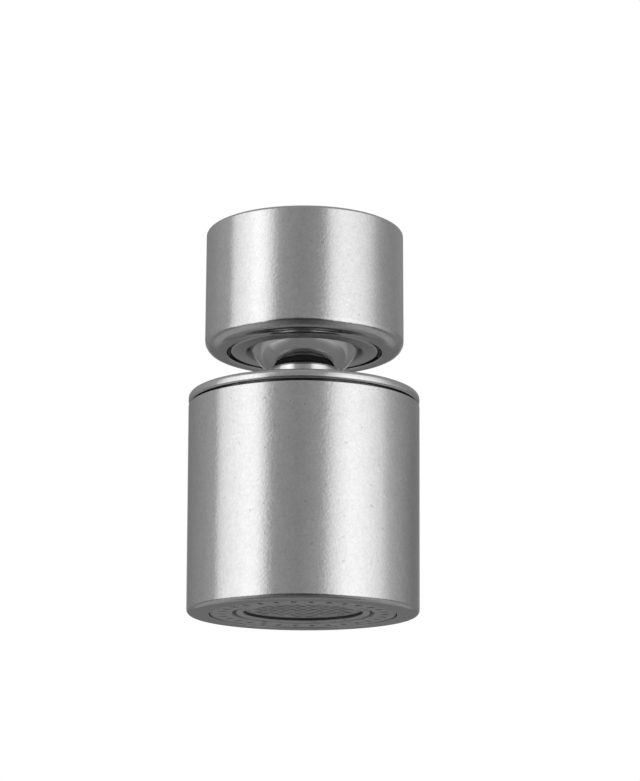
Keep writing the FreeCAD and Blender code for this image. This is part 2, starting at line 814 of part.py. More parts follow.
def make_mixing_ring():
    """Ring with short vanes that point inwards."""
    body = flat_ring("mixing_ring", "mixing_bore", "stack_radius", "mixing_bottom", "mixing_top")
    ring = body.Tip
    vane = body.newObject("PartDesign::AdditiveBox", "Vane")
    vane.AttachmentSupport = (origin_feature(body, "XY_Plane"), [""])
    vane.MapMode = "FlatFace"
    vane.setExpression("Length", formula("vane_reach + mixing_wall / 2"))
    vane.setExpression("Width", formula("vane_width"))
    vane.setExpression("Height", formula("mixing_height"))
    vane.setExpression("AttachmentOffset.Base.x", formula("vane_start"))
    vane.setExpression("AttachmentOffset.Base.y", formula("-vane_width / 2"))
    vane.setExpression("AttachmentOffset.Base.z", formula("mixing_bottom"))
    doc.recompute()
    must_differ(ring, vane)
    repeat_round(body, "Vanes", vane, "vane_count")
    return body


def make_jet_breaker():
    """Disc with a ring of fine jets round a boss, and a rim that carries the strainer."""
    body = new_body("jet_breaker")
    turn(body, "Disc", {
        "middle_foot": (ZERO, "mixing_top"),
        "foot": ("stack_radius", "mixing_top"),
        "rim": ("stack_radius", "filter_bottom"),
        "rim_inner": ("breaker_rim_radius", "filter_bottom"),
        "rim_foot": ("breaker_rim_radius", "breaker_top"),
        "boss_foot": ("boss_radius", "breaker_top"),
        "boss": ("boss_radius", "regulator_top"),
        "middle": (ZERO, "regulator_top"),
    })
    upright_holes(body, "Jets", "jet_diameter", "jet_circle", "filter_bottom", "jet_count")
    return body


# Casing group, which slides on the core

def make_outer_casing():
    """Casing with a slight draft, a step for the sleeve and a lip that holds the spray plate."""
    body = new_body("outer_casing")
    foot = ("casing_foot_radius", ZERO)
    top = ("casing_radius", "casing_top")
    blank = turn(body, "Casing", {
        "lip_foot": ("lip_bore", ZERO),
        "foot": foot,
        "top": top,
        "bore_top": ("casing_upper_bore", "casing_top"),
        "step_outer": ("casing_upper_bore", "casing_step_z"),
        "step_inner": ("casing_bore", "casing_step_z"),
        "ledge_outer": ("casing_bore", "lip_height"),
        "ledge_inner": ("lip_bore", "lip_height"),
    })
    rounded = dress(body, "Fillet", "FootRound", blank, "casing_edge_round", foot)
    dress(body, "Fillet", "TopRound", rounded, "casing_top_round", top)
    return body


def make_diverter_sleeve():
    """Sleeve with two lands and a recess between them, which windows open to its outside."""
    body = new_body("diverter_sleeve")
    turn(body, "Sleeve", {
        "land_foot": ("land_bore", "sleeve_bottom"),
        "foot": ("sleeve_radius", "sleeve_bottom"),
        "flange_inner": ("sleeve_radius", "casing_step_z"),
        "flange_foot": ("sleeve_flange_radius", "casing_step_z"),
        "groove_low": ("sleeve_flange_radius", "sleeve_seal_z - groove_half"),
        "groove_root_low": ("sleeve_groove", "sleeve_seal_z - groove_half"),
        "groove_root_high": ("sleeve_groove", "sleeve_seal_z + groove_half"),
        "groove_high": ("sleeve_flange_radius", "sleeve_seal_z + groove_half"),
        "flange_top": ("sleeve_flange_radius", "sleeve_top"),
        "land_top": ("land_bore", "sleeve_top"),
        "recess_over": ("land_bore", "recess_top"),
        "recess_top": ("recess_radius", "recess_top"),
        "recess_foot": ("recess_radius", "recess_bottom"),
        "recess_under": ("land_bore", "recess_bottom"),
    })
    radial_holes(body, "Windows", "window_diameter", "window_z", "casing_bore", "port_count")
    return body


def draw_slot(sketch):
    """Slot with round ends, from the slot circle's inner to its outer radius."""
    half = measure("slot_half")
    inner = measure("slot_start + slot_half")
    outer = measure("slot_end - slot_half")
    up = FreeCAD.Vector(0, 0, 1)
    low_side = Part.LineSegment(FreeCAD.Vector(inner, -half, 0), FreeCAD.Vector(outer, -half, 0))
    high_side = Part.LineSegment(FreeCAD.Vector(outer, half, 0), FreeCAD.Vector(inner, half, 0))
    outer_end = Part.ArcOfCircle(Part.Circle(FreeCAD.Vector(outer, 0, 0), up, half),
                                 -math.pi / 2, math.pi / 2)
    inner_end = Part.ArcOfCircle(Part.Circle(FreeCAD.Vector(inner, 0, 0), up, half),
                                 math.pi / 2, 3 * math.pi / 2)
    low = sketch.addGeometry(low_side, False)
    far = sketch.addGeometry(outer_end, False)
    high = sketch.addGeometry(high_side, False)
    near = sketch.addGeometry(inner_end, False)
    for before, after in ((low, far), (far, high), (high, near), (near, low)):
        sketch.addConstraint(Sketcher.Constraint("Tangent", before, 2, after, 1))
    for curve in (far, near):
        sketch.addConstraint(Sketcher.Constraint("PointOnObject", curve, 3, -1))
    radius = sketch.addConstraint(Sketcher.Constraint("Radius", far, half))
    start = sketch.addConstraint(Sketcher.Constraint("DistanceX", -1, 1, near, 3, inner))
    end = sketch.addConstraint(Sketcher.Constraint("DistanceX", -1, 1, far, 3, outer))
    rules = ((radius, "half", "slot_half"),
             (start, "start", "slot_start + slot_half"),
             (end, "end", "slot_end - slot_half"))
    for index, name, text in rules:
        sketch.renameConstraint(index, name)
        sketch.setExpression(f"Constraints.{name}", formula(text))


def make_spray_plate():
    """Ring plate with radial spray slots, a rim that rests on the casing's lip and an inner wall."""
    body = new_body("spray_plate")
    turn(body, "Plate", {
        "hole_foot": ("plate_hole", "plate_inset"),
        "face": ("plate_radius", "plate_inset"),
        "face_top": ("plate_radius", "lip_height"),
        "flange_foot": ("plate_flange_radius", "lip_height"),
        "flange_top": ("plate_flange_radius", "plate_flange_top"),
        "channel_mouth": ("channel_outer", "plate_flange_top"),
        "channel_outer": ("channel_outer", "plate_floor_top"),
        "channel_inner": ("channel_inner", "plate_floor_top"),
        "wall_outer": ("channel_inner", "plate_wall_top"),
        "wall_inner": ("plate_hole", "plate_wall_top"),
    })
    sketch = new_sketch(body, "SlotOutline", "XY_Plane")
    draw_slot(sketch)
    slot = body.newObject("PartDesign::Pocket", "Slot")
    slot.Profile = sketch
    slot.Type = "Length"
    slot.setExpression("Length", formula("plate_flange_top"))
    slot.Reversed = True
    doc.recompute()
    repeat_round(body, "Slots", slot, "slot_count")
    return body


# All pieces of the aerator

def make_pieces():
    """Every separate piece, from the nut down to the outlet."""
    return [
        make_tap_nut(),
        flat_ring("inlet_washer", "washer_bore", "washer_radius", "screen_flange_top", "washer_top"),
        make_inlet_screen(),
        make_ball_seat_ring(),
        rubber_ring("ball_seal", "ball_seal_ring", "ball_seal_half", "ball_seal_z"),
        rubber_ring("seat_seal", "seat_seal_ring", "seal_half", "seat_seal_z"),
        make_ball_retaining_ring(),
        make_ball_stem(),
        flat_ring("stem_washer", "hub_hole", "stem_washer_radius", "stem_washer_bottom", "hub_bottom"),
        make_stem_clip(),
        rubber_ring("stem_seal", "stem_seal_ring", "stem_seal_half", "stem_seal_z"),
        make_top_cover(),
        make_core_body(),
        rubber_ring("port_seal_upper", "port_seal_ring", "seal_half", "upper_seal_z"),
        rubber_ring("port_seal_lower", "port_seal_ring", "seal_half", "lower_seal_z"),
        rubber_ring("spray_chamber_seal", "chamber_seal_ring", "seal_half", "chamber_seal_z"),
        make_outer_casing(),
        make_diverter_sleeve(),
        rubber_ring("sleeve_seal", "sleeve_seal_ring", "seal_half", "sleeve_seal_z"),
        make_spray_plate(),
        make_aerator_housing(),
        flat_ring("aerator_gasket", "gasket_bore", "insert_radius", "insert_top", "gasket_top"),
        make_mesh("aerator_filter", "filter_bottom", "filter_thickness", "filter_hole", "filter_wire"),
        flat_ring("flow_regulator", "regulator_bore", "regulator_radius", "breaker_top",
                  "regulator_top"),
        make_jet_breaker(),
        make_mixing_ring(),
        make_mesh("screen_upper", "spacer_top", "screen_thickness", "screen_hole", "screen_wire"),
        flat_ring("screen_spacer", "spacer_bore", "stack_radius", "spacer_bottom", "spacer_top"),
        make_mesh("screen_lower", "honeycomb_top", "screen_thickness", "screen_hole", "screen_wire"),
        make_honeycomb_outlet(),
    ]


pieces = make_pieces()
doc.recompute()

for item in doc.Objects:
    if "Invalid" in item.State or "Error" in item.State:
        raise ValueError(f"{item.Label} did not rebuild")
for piece in pieces:
    if piece.Shape.isNull() or not piece.Shape.isValid() or len(piece.Shape.Solids) != 1:
        raise ValueError(f"{piece.Label} is not one sound solid")

os.makedirs("parts", exist_ok=True)
for piece in pieces:
    piece.Shape.exportStep(os.path.join("parts", f"{piece.Label}.step"))
    box = piece.Shape.BoundBox
    print(f"{piece.Label}: {piece.Shape.Volume:.1f} mm3, z {box.ZMin:.2f} to {box.ZMax:.2f}, "
          f"width {box.XLength:.2f}")
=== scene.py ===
# %% [markdown]
# # A swivel tap aerator
#
# This lesson dresses a small piece of plumbing: a union nut that screws onto a tap, a polished ball joint
# held in it, and a spray head that hangs from the ball. The solid model is already there as a frame of
# closed solids, one per real piece. Here the pieces that the eye meets are turned again with fine, smooth
# outlines, and every piece gets a finish with grain, wear and the right gloss.
#
# The frame comes first. Its box is kept, because the finished scene must be exactly as large.

# %% Load the frame
import bmesh
import bpy
import json
import math
from mathutils import Matrix, Vector


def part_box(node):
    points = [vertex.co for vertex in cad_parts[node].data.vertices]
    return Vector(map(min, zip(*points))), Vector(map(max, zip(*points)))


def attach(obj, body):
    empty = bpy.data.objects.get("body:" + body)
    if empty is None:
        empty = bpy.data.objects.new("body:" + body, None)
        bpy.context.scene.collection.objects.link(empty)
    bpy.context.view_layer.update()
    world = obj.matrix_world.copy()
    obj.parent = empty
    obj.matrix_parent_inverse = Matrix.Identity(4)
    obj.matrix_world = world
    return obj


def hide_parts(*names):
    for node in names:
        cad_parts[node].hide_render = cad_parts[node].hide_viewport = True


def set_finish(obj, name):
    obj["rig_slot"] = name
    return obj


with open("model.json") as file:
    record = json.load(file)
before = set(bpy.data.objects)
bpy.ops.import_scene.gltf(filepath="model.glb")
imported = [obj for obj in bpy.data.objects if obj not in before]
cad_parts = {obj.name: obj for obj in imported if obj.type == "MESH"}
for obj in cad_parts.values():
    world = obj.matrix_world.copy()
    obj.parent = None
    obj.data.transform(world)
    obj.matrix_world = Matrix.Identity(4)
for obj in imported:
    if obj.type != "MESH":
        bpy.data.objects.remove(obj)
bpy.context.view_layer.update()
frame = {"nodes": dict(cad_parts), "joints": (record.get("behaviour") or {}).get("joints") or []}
MM = 0.001

# %% [markdown]
# ## How a turned piece is made
#
# Nut, ring, ball, cover and casing all come off a lathe, so each is one outline swept round the axis. The
# outline is drawn as a closed wire in the XZ plane: radius across, height up. A vertex bevel rounds its
# corners while they are still single points, which is far easier than picking edges on the finished solid.
# One full spin then closes the shape. A ball needs an arc in the outline, and the arc is a small spin too,
# of one point about the ball's centre.

# %% Draw an outline
BROKEN_EDGE = 0.06
CORNER_STEPS = 5
ARC_STEP = math.radians(2.5)
AXIS = (0.0, 0.0, 1.0)


def corner(radius, height, rounding=BROKEN_EDGE, bend=None):
    """One corner of an outline in millimetres. bend is the height on the axis about which the run to the
    next corner curves; without it the run is straight."""
    return {"at": Vector((radius, 0.0, height)) * MM, "rounding": rounding * MM, "bend": bend}


def bend_run(shape, start, end, height):
    """Swing a copy of the start point about a centre on the axis until it meets the end point."""
    centre = Vector((0.0, 0.0, height * MM))
    first, last = start.co - centre, end.co - centre
    swing = math.atan2(first.z, first.x) - math.atan2(last.z, last.x)
    swung = bmesh.ops.spin(shape, geom=[start], cent=centre, axis=(0, 1, 0), angle=swing,
                           steps=max(2, round(abs(swing) / ARC_STEP)))
    tip = [item for item in swung["geom_last"] if isinstance(item, bmesh.types.BMVert)][0]
    bmesh.ops.weld_verts(shape, targetmap={tip: end})


def draw_outline(shape, corners, closed=True):
    """Wire through the corners, each rounded by its own amount."""
    points = [shape.verts.new(entry["at"]) for entry in corners]
    for index, entry in enumerate(corners if closed else corners[:-1]):
        following = points[(index + 1) % len(points)]
        if entry["bend"] is None:
            shape.edges.new((points[index], following))
        else:
            bend_run(shape, points[index], following, entry["bend"])
    for point, entry in zip(points, corners):
        if entry["rounding"] > 0:
            bmesh.ops.bevel(shape, geom=[point], offset=entry["rounding"], offset_type="OFFSET",
                            segments=CORNER_STEPS, profile=0.5, affect="VERTICES", material=-1,
                            clamp_overlap=True)


# %% [markdown]
# Every finished mesh passes through one function, so that all of them get the same care: doubles merged,
# faces turned outwards, smooth shading with weighted normals, and their place in the frame. Weighted
# normals keep a long straight wall truly straight in the reflections while its edges still look soft. The
# function also says which body the piece moves with and which solids of the frame it stands for.

# %% Finish a piece
DOUBLE = 1e-7
SOFT_EDGE = math.radians(35)


def finish_piece(shape, name, body, slot, replaces=()):
    """Turn a bmesh into a piece of the scene."""
    bmesh.ops.remove_doubles(shape, verts=shape.verts[:], dist=DOUBLE)
    bmesh.ops.recalc_face_normals(shape, faces=shape.faces[:])
    open_edges = sum(1 for edge in shape.edges if len(edge.link_faces) != 2)
    mesh = bpy.data.meshes.new(name)
    shape.to_mesh(mesh)
    volume = shape.calc_volume(signed=True) / MM ** 3
    shape.free()
    mesh.shade_smooth()
    mesh.set_sharp_from_angle(angle=SOFT_EDGE)
    piece = bpy.data.objects.new(name, mesh)
    bpy.context.scene.collection.objects.link(piece)
    weighted = piece.modifiers.new("even_normals", "WEIGHTED_NORMAL")
    weighted.keep_sharp = True
    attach(piece, body)
    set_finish(piece, slot)
    if replaces:
        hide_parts(*replaces)
    print(f"{name}: {len(mesh.polygons)} faces, {volume:.1f} mm3, {open_edges} open edges")
    return piece


def turned(name, body, slot, corners, replaces=(), steps=160):
    """Sweep an outline once round the axis."""
    shape = bmesh.new()
    draw_outline(shape, corners)
    bmesh.ops.spin(shape, geom=shape.verts[:] + shape.edges[:], cent=(0, 0, 0), axis=AXIS,
                   angle=math.tau, steps=steps, use_merge=True)
    return finish_piece(shape, name, body, slot, replaces)


def node_heights(name):
    """Lowest and highest point of a solid of the frame, in millimetres."""
    low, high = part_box(name)
    return low.z / MM, high.z / MM


def node_radius(name):
    """Largest radius of a solid of the frame, in millimetres."""
    low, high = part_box(name)
    return (high.x - low.x) / 2 / MM


# %% [markdown]
# ## Union nut
#
# The nut is the short satin cylinder at the top. Its lower lip is rolled over in a large soft round, which
# catches a thin dark and light double line in the photograph, while its top edge is barely broken. Inside,
# from the top, it has the tap's thread, a relief behind it, a web that carries the washer, and the straight
# bore that the ball ring screws into.

# %% Turn the nut
nut_bottom, nut_top = node_heights("tap_nut")
nut_radius = node_radius("tap_nut")
washer_top = node_heights("inlet_washer")[1]
seat_top = node_heights("ball_seat_ring")[1]
screen_bottom = node_heights("inlet_screen")[0]
THREAD_RADIUS = 11.0
THREAD_CHAMFER = 0.3
THREAD_RELIEF = 0.25
NUT_LIP_ROUND = 1.5
NUT_BORE = 9.8
WEB_BORE = 7.0
SEAT_ROOM = 0.05

nut = turned("union_nut", "root", "satin_metal", [
    corner(NUT_BORE, nut_bottom, 0.12),
    corner(nut_radius, nut_bottom, NUT_LIP_ROUND),
    corner(nut_radius, nut_top, 0.4),
    corner(THREAD_RADIUS + THREAD_CHAMFER, nut_top, 0.08),
    corner(THREAD_RADIUS, nut_top - THREAD_CHAMFER, 0.0),
    corner(THREAD_RADIUS, washer_top),
    corner(THREAD_RADIUS + THREAD_RELIEF, washer_top),
    corner(THREAD_RADIUS + THREAD_RELIEF, screen_bottom, 0.0),
    corner(WEB_BORE, screen_bottom),
    corner(WEB_BORE, seat_top + SEAT_ROOM),
    corner(NUT_BORE, seat_top + SEAT_ROOM, 0.0),
], replaces=["tap_nut"])

# %% [markdown]
# The thread is a ridge that climbs the bore by one millimetre a turn. A four-point section is spun with a
# rise per step, which is what the spin operator's own shift is for. Its two ends are closed, and the last
# steps at each end sink back into the wall, as a cut thread runs out.

# %% Cut the thread
THREAD_PITCH = 1.0
THREAD_DEPTH = 0.5
RIDGE_SUNK = 0.03
RIDGE_HALF_FOOT = 0.44
RIDGE_HALF_CREST = 0.07
RIDGE_MARGIN = 0.45
ROOT_ZONE = 0.1
RUN_OUT_SHARE = 0.96
TURN_STEPS = 72
RUN_OUT_STEPS = 10


def thread_ridge(name, body, slot, wall, low, high):
    """Helical ridge on the inside of a bore."""
    turns = (high - low) / THREAD_PITCH - 2 * RIDGE_MARGIN
    steps = round(turns * TURN_STEPS)
    crest = wall - THREAD_DEPTH
    section = [(wall + RIDGE_SUNK, -RIDGE_HALF_FOOT), (crest, -RIDGE_HALF_CREST),
               (crest, RIDGE_HALF_CREST), (wall + RIDGE_SUNK, RIDGE_HALF_FOOT)]
    shape = bmesh.new()
    points = [shape.verts.new(Vector((radius, 0.0, low + RIDGE_MARGIN + height)) * MM)
              for radius, height in section]
    shape.faces.new(points)
    bmesh.ops.spin(shape, geom=shape.verts[:] + shape.edges[:] + shape.faces[:], cent=(0, 0, 0), axis=AXIS,
                   dvec=Vector((0, 0, THREAD_PITCH / TURN_STEPS)) * MM, angle=math.tau * turns, steps=steps)
    for point in shape.verts:
        radius = math.hypot(point.co.x, point.co.y)
        if radius > (wall - ROOT_ZONE) * MM:
            continue
        turn = (point.co.z - (low + RIDGE_MARGIN) * MM) / (THREAD_PITCH * MM)
        at_start = 1 - turn * TURN_STEPS / RUN_OUT_STEPS
        at_end = 1 - (turns - turn) * TURN_STEPS / RUN_OUT_STEPS
        sink = min(1.0, max(0.0, at_start, at_end))
        wanted = radius + sink * THREAD_DEPTH * RUN_OUT_SHARE * MM
        point.co.x *= wanted / radius
        point.co.y *= wanted / radius
    print("thread turns:", round(turns, 2))
    return finish_piece(shape, name, body, slot)


thread = thread_ridge("nut_thread", "root", "satin_metal", THREAD_RADIUS, washer_top,
                      nut_top - THREAD_CHAMFER)

# %% [markdown]
# ## Ring, ball and stem
#
# The ball sits in a ring that is screwed into the nut from below. The ring's flat face is almost level with
# the nut's lip, with a fine dark gap between them, and its mouth flares down to the ball. Ball and stem are
# one turned and polished piece with a bore through it, so its outline is one closed wire with a long arc.

# %% Turn the ball's ring
ring_bottom, ring_top = node_heights("ball_retaining_ring")
BALL_Z = frame["joints"][0]["pos_m"][2] / MM
BALL_RADIUS = node_radius("ball_stem")
SEAT_RADIUS = BALL_RADIUS + SEAT_ROOM
MOUTH_RADIUS = BALL_RADIUS - 0.2
RING_RADIUS = node_radius("ball_retaining_ring")
RING_GAP = 0.45
RING_GAP_DEPTH = 2.2
RING_EDGE_ROUND = 0.28
RING_FACE_RADIUS = RING_RADIUS - RING_GAP
THROAT_RISE = 1.0


def on_sphere(radius, height):
    """Radius of a sphere about the ball's centre at one height."""
    return math.sqrt(radius ** 2 - (height - BALL_Z) ** 2)


throat = ring_bottom + THROAT_RISE
ball_ring = turned("ball_ring", "root", "satin_metal", [
    corner(MOUTH_RADIUS, ring_bottom, 0.1),
    corner(RING_FACE_RADIUS, ring_bottom, RING_EDGE_ROUND),
    corner(RING_FACE_RADIUS, ring_bottom + RING_GAP_DEPTH, 0.0),
    corner(RING_RADIUS, ring_bottom + RING_GAP_DEPTH),
    corner(RING_RADIUS, ring_top),
    corner(SEAT_RADIUS, ring_top, 0.0),
    corner(SEAT_RADIUS, BALL_Z, 0.0, bend=BALL_Z),
    corner(on_sphere(SEAT_RADIUS, throat), throat, 0.04),
], replaces=["ball_retaining_ring"])

# %% Turn the ball and its stem
stem_bottom, ball_flat = node_heights("ball_stem")
hub_bottom = node_heights("stem_washer")[1]
clip_low, clip_high = node_heights("stem_clip")
seal_low, seal_high = node_heights("stem_seal")
NECK_RADIUS = 4.2
STEM_BORE = 2.3
CLIP_GROOVE = 3.5
SEAL_GROOVE = 3.1
GROOVE_PLAY = 0.1
SHOULDER_RADIUS = 4.55
neck_top = BALL_Z - math.sqrt(BALL_RADIUS ** 2 - SHOULDER_RADIUS ** 2)

ball = turned("ball_and_stem", "ball_stem", "polished_metal", [
    corner(STEM_BORE, stem_bottom),
    corner(NECK_RADIUS, stem_bottom, 0.15),
    corner(NECK_RADIUS, seal_low - GROOVE_PLAY),
    corner(SEAL_GROOVE, seal_low - GROOVE_PLAY, 0.0),
    corner(SEAL_GROOVE, seal_high + GROOVE_PLAY, 0.0),
    corner(NECK_RADIUS, seal_high + GROOVE_PLAY),
    corner(NECK_RADIUS, clip_low - GROOVE_PLAY),
    corner(CLIP_GROOVE, clip_low - GROOVE_PLAY, 0.0),
    corner(CLIP_GROOVE, clip_high, 0.0),
    corner(NECK_RADIUS, clip_high),
    corner(NECK_RADIUS, neck_top, 0.05),
    corner(SHOULDER_RADIUS, neck_top, 0.03, bend=BALL_Z),
    corner(on_sphere(BALL_RADIUS, ball_flat), ball_flat, 0.1),
    corner(STEM_BORE, ball_flat, 0.15),
], replaces=["ball_stem"])

# %% [markdown]
# ## Cover and casing
#
# The spray head is two satin shells with a fine dark seam between them. The cover is the thin upper one: a
# round edge, a flat top and a recess round the neck, where a dark rubber collar lies. The casing under it is
# a long plain cylinder that narrows by a hair towards the outlet, because such a shell is drawn or moulded
# with a little draft.

# %% Turn the cover
cover_bottom, cover_top = node_heights("top_cover")
casing_bottom, casing_top = node_heights("outer_casing")
CASING_RADIUS = node_radius("outer_casing")
CASING_DRAFT = 0.15
CASING_FOOT_RADIUS = CASING_RADIUS - CASING_DRAFT
SEAM = 0.25
HUB_HOLE = NECK_RADIUS + 0.05
SKIRT_BORE = 9.65
SKIRT_RADIUS = 12.45
COVER_FOOT_ROUND = 0.35
COVER_TOP_ROUND = 0.55
COLLAR_RADIUS = 6.6
COLLAR_SEAT = 1.2
COLLAR_ROOM = 0.08
COLLAR_SINK = 0.25
COLLAR_STEP = 0.5

cover = turned("head_cover", "head", "satin_metal", [
    corner(HUB_HOLE, hub_bottom, 0.0),
    corner(SKIRT_BORE, hub_bottom, 0.0),
    corner(SKIRT_BORE, cover_bottom),
    corner(SKIRT_RADIUS, cover_bottom),
    corner(SKIRT_RADIUS, casing_top + SEAM, 0.0),
    corner(CASING_RADIUS, casing_top + SEAM, COVER_FOOT_ROUND),
    corner(CASING_RADIUS, cover_top, COVER_TOP_ROUND),
    corner(COLLAR_RADIUS, cover_top, 0.1),
    corner(COLLAR_RADIUS, cover_top - COLLAR_SEAT, 0.0),
    corner(HUB_HOLE, cover_top - COLLAR_SEAT, 0.0),
], replaces=["top_cover"])
collar = turned("neck_collar", "head", "seal_rubber", [
    corner(HUB_HOLE, cover_top - COLLAR_SEAT, 0.0),
    corner(COLLAR_RADIUS - COLLAR_ROOM, cover_top - COLLAR_SEAT, 0.0),
    corner(COLLAR_RADIUS - COLLAR_ROOM, cover_top - COLLAR_SINK, 0.15),
    corner(HUB_HOLE + 0.9, cover_top - COLLAR_SINK, 0.1),
    corner(HUB_HOLE + 0.7, cover_top - COLLAR_STEP, 0.1),
    corner(HUB_HOLE, cover_top - COLLAR_STEP, 0.1),
])

# %% Turn the casing
sleeve_high = node_heights("diverter_sleeve")[1]
LIP_BORE = 11.55
LIP_HEIGHT = 1.2
CASING_BORE = 12.25
CASING_UPPER_BORE = 12.85
SLEEVE_FLANGE = 1.5
CASING_FOOT_ROUND = 0.6

casing = turned("head_casing", "casing", "satin_metal", [
    corner(LIP_BORE, casing_bottom, 0.03),
    corner(CASING_FOOT_RADIUS, casing_bottom, CASING_FOOT_ROUND),
    corner(CASING_RADIUS, casing_top, 0.15),
    corner(CASING_UPPER_BORE, casing_top),
    corner(CASING_UPPER_BORE, sleeve_high - SLEEVE_FLANGE, 0.0),
    corner(CASING_BORE, sleeve_high - SLEEVE_FLANGE),
    corner(CASING_BORE, LIP_HEIGHT, 0.0),
    corner(LIP_BORE, LIP_HEIGHT),
], replaces=["outer_casing"])

# %% [markdown]
# ## Spray plate
#
# The circle of short slots round the outlet lets the water out as a broad spray. Cutting thirty holes with a
# boolean would work, but the result is hard to keep clean. It is easier to draw the face flat, with the
# slots as holes in it: one slot is made with its worn edge and its walls, copied round the axis by the spin
# operator, and the face is then filled between the slots and the two rims. The walls and flanges round it
# are open outlines, spun with the same number of steps, so that everything meets point to point.

# %% Helpers for a pierced plate
PLATE_STEPS = 180


def lay_outline(shape, corners, height):
    """Draw a closed outline and lay it flat at one height. Returns its edges."""
    known = set(shape.verts)
    draw_outline(shape, corners)
    points = [point for point in shape.verts if point not in known]
    bmesh.ops.rotate(shape, verts=points, cent=(0, 0, 0), matrix=Matrix.Rotation(math.radians(90), 3, "X"))
    bmesh.ops.translate(shape, verts=points, vec=Vector((0, 0, height)) * MM)
    return list({edge for point in points for edge in point.link_edges})


def stack_outlines(shape, levels):
    """Bridge outlines of the same make, given as (corners, height), into one wall."""
    rings = [lay_outline(shape, corners, height) for corners, height in levels]
    for lower, upper in zip(rings, rings[1:]):
        bmesh.ops.bridge_loops(shape, edges=lower + upper)


def edges_at(shape, height):
    """All edges that lie at one height."""
    return [edge for edge in shape.edges
            if all(abs(point.co.z - height * MM) < DOUBLE for point in edge.verts)]


def fill_level(shape, height, radii, steps):
    """Close a level between round rims of the given radii and the holes that are already there."""
    for radius in radii:
        bmesh.ops.create_circle(shape, cap_ends=False, segments=steps, radius=radius * MM,
                                matrix=Matrix.Translation(Vector((0, 0, height)) * MM))
    bmesh.ops.triangle_fill(shape, use_beauty=True, use_dissolve=False, edges=edges_at(shape, height))


def spin_open(shape, corners, steps):
    """Sweep an open outline round the axis."""
    known = set(shape.verts)
    draw_outline(shape, corners, closed=False)
    points = [point for point in shape.verts if point not in known]
    edges = list({edge for point in points for edge in point.link_edges})
    bmesh.ops.spin(shape, geom=points + edges, cent=(0, 0, 0), axis=AXIS, angle=math.tau, steps=steps,
                   use_merge=True)


# %% Make the spray plate
plate_bottom, plate_top = node_heights("spray_plate")
PLATE_BORE = 8.8
PLATE_FACE_RADIUS = 11.43
PLATE_FLANGE_RADIUS = 12.2
CHANNEL = (9.3, 11.2)
PLATE_FLOOR = 1.2
PLATE_FLOOR_TOP = plate_bottom + PLATE_FLOOR
PLATE_FLANGE = 1.4
SLOT_RUN = (9.5, 10.7)
SLOT_HALF_WIDTH = 0.325
SLOT_EDGE = 0.07
SLOT_EDGE_BEND = 0.3
SLOT_END_ROUND = 0.98
SLOT_COUNT = 30


def slot_corners(growth):
    """Outline of one radial slot with round ends, a little larger by growth."""
    inner, outer = SLOT_RUN[0] - growth, SLOT_RUN[1] + growth
    half = SLOT_HALF_WIDTH + growth
    places = [(inner, -half), (outer, -half), (outer, half), (inner, half)]
    return [corner(*place, half * SLOT_END_ROUND) for place in places]


bent_edge = SLOT_EDGE * SLOT_EDGE_BEND
plate_shape = bmesh.new()
stack_outlines(plate_shape, [(slot_corners(SLOT_EDGE), plate_bottom),
                             (slot_corners(bent_edge), plate_bottom + bent_edge),
                             (slot_corners(0.0), plate_bottom + SLOT_EDGE),
                             (slot_corners(0.0), PLATE_FLOOR_TOP)])
bmesh.ops.spin(plate_shape, geom=plate_shape.verts[:] + plate_shape.edges[:] + plate_shape.faces[:],
               cent=(0, 0, 0), axis=AXIS, angle=math.tau * (SLOT_COUNT - 1) / SLOT_COUNT,
               steps=SLOT_COUNT - 1, use_duplicate=True)
for level in (plate_bottom, PLATE_FLOOR_TOP):
    fill_level(plate_shape, level, CHANNEL, PLATE_STEPS)
spin_open(plate_shape, [
    corner(CHANNEL[0], plate_bottom, 0.0),
    corner(PLATE_BORE, plate_bottom, 0.12),
    corner(PLATE_BORE, plate_top),
    corner(CHANNEL[0], plate_top),
    corner(CHANNEL[0], PLATE_FLOOR_TOP, 0.0),
], PLATE_STEPS)
spin_open(plate_shape, [
    corner(CHANNEL[1], plate_bottom, 0.0),
    corner(PLATE_FACE_RADIUS, plate_bottom, 0.1),
    corner(PLATE_FACE_RADIUS, LIP_HEIGHT, 0.0),
    corner(PLATE_FLANGE_RADIUS, LIP_HEIGHT),
    corner(PLATE_FLANGE_RADIUS, LIP_HEIGHT + PLATE_FLANGE),
    corner(CHANNEL[1], LIP_HEIGHT + PLATE_FLANGE),
    corner(CHANNEL[1], PLATE_FLOOR_TOP, 0.0),
], PLATE_STEPS)
spray_ring = finish_piece(plate_shape, "spray_ring", "casing", "outlet_plastic", ["spray_plate"])

# %% [markdown]
# ## Aerator ring and honeycomb
#
# Inside the dark ring-shaped gap sits the screw-in aerator: a ring with a soft lip, and a recessed disc of
# six-sided cells that straightens the jet. The disc is made as the spray plate is, with one cell wall copied
# to every place of a close-packed pattern. A thin dark liner on the recess's wall stands for the shadow line
# that the photograph shows there.

# %% Make the aerator ring
lip_bottom, housing_top = node_heights("aerator_housing")
comb_bottom, comb_top = node_heights("honeycomb_outlet")
LIP_RADIUS = node_radius("aerator_housing")
POCKET_RADIUS = 7.4
HOUSING_RADIUS = 7.2
HOUSING_BORE = 6.5
LIP_RING_HEIGHT = 2.0
LINER_WALL = 0.1
LINER_RISE = 0.18

aerator_ring = turned("aerator_ring", "head", "outlet_plastic", [
    corner(POCKET_RADIUS, lip_bottom, 0.12),
    corner(LIP_RADIUS, lip_bottom, 0.15),
    corner(LIP_RADIUS, lip_bottom + LIP_RING_HEIGHT),
    corner(HOUSING_RADIUS, lip_bottom + LIP_RING_HEIGHT, 0.0),
    corner(HOUSING_RADIUS, housing_top),
    corner(HOUSING_BORE, housing_top),
    corner(HOUSING_BORE, comb_top, 0.0),
    corner(POCKET_RADIUS, comb_top, 0.0),
], replaces=["aerator_housing"])

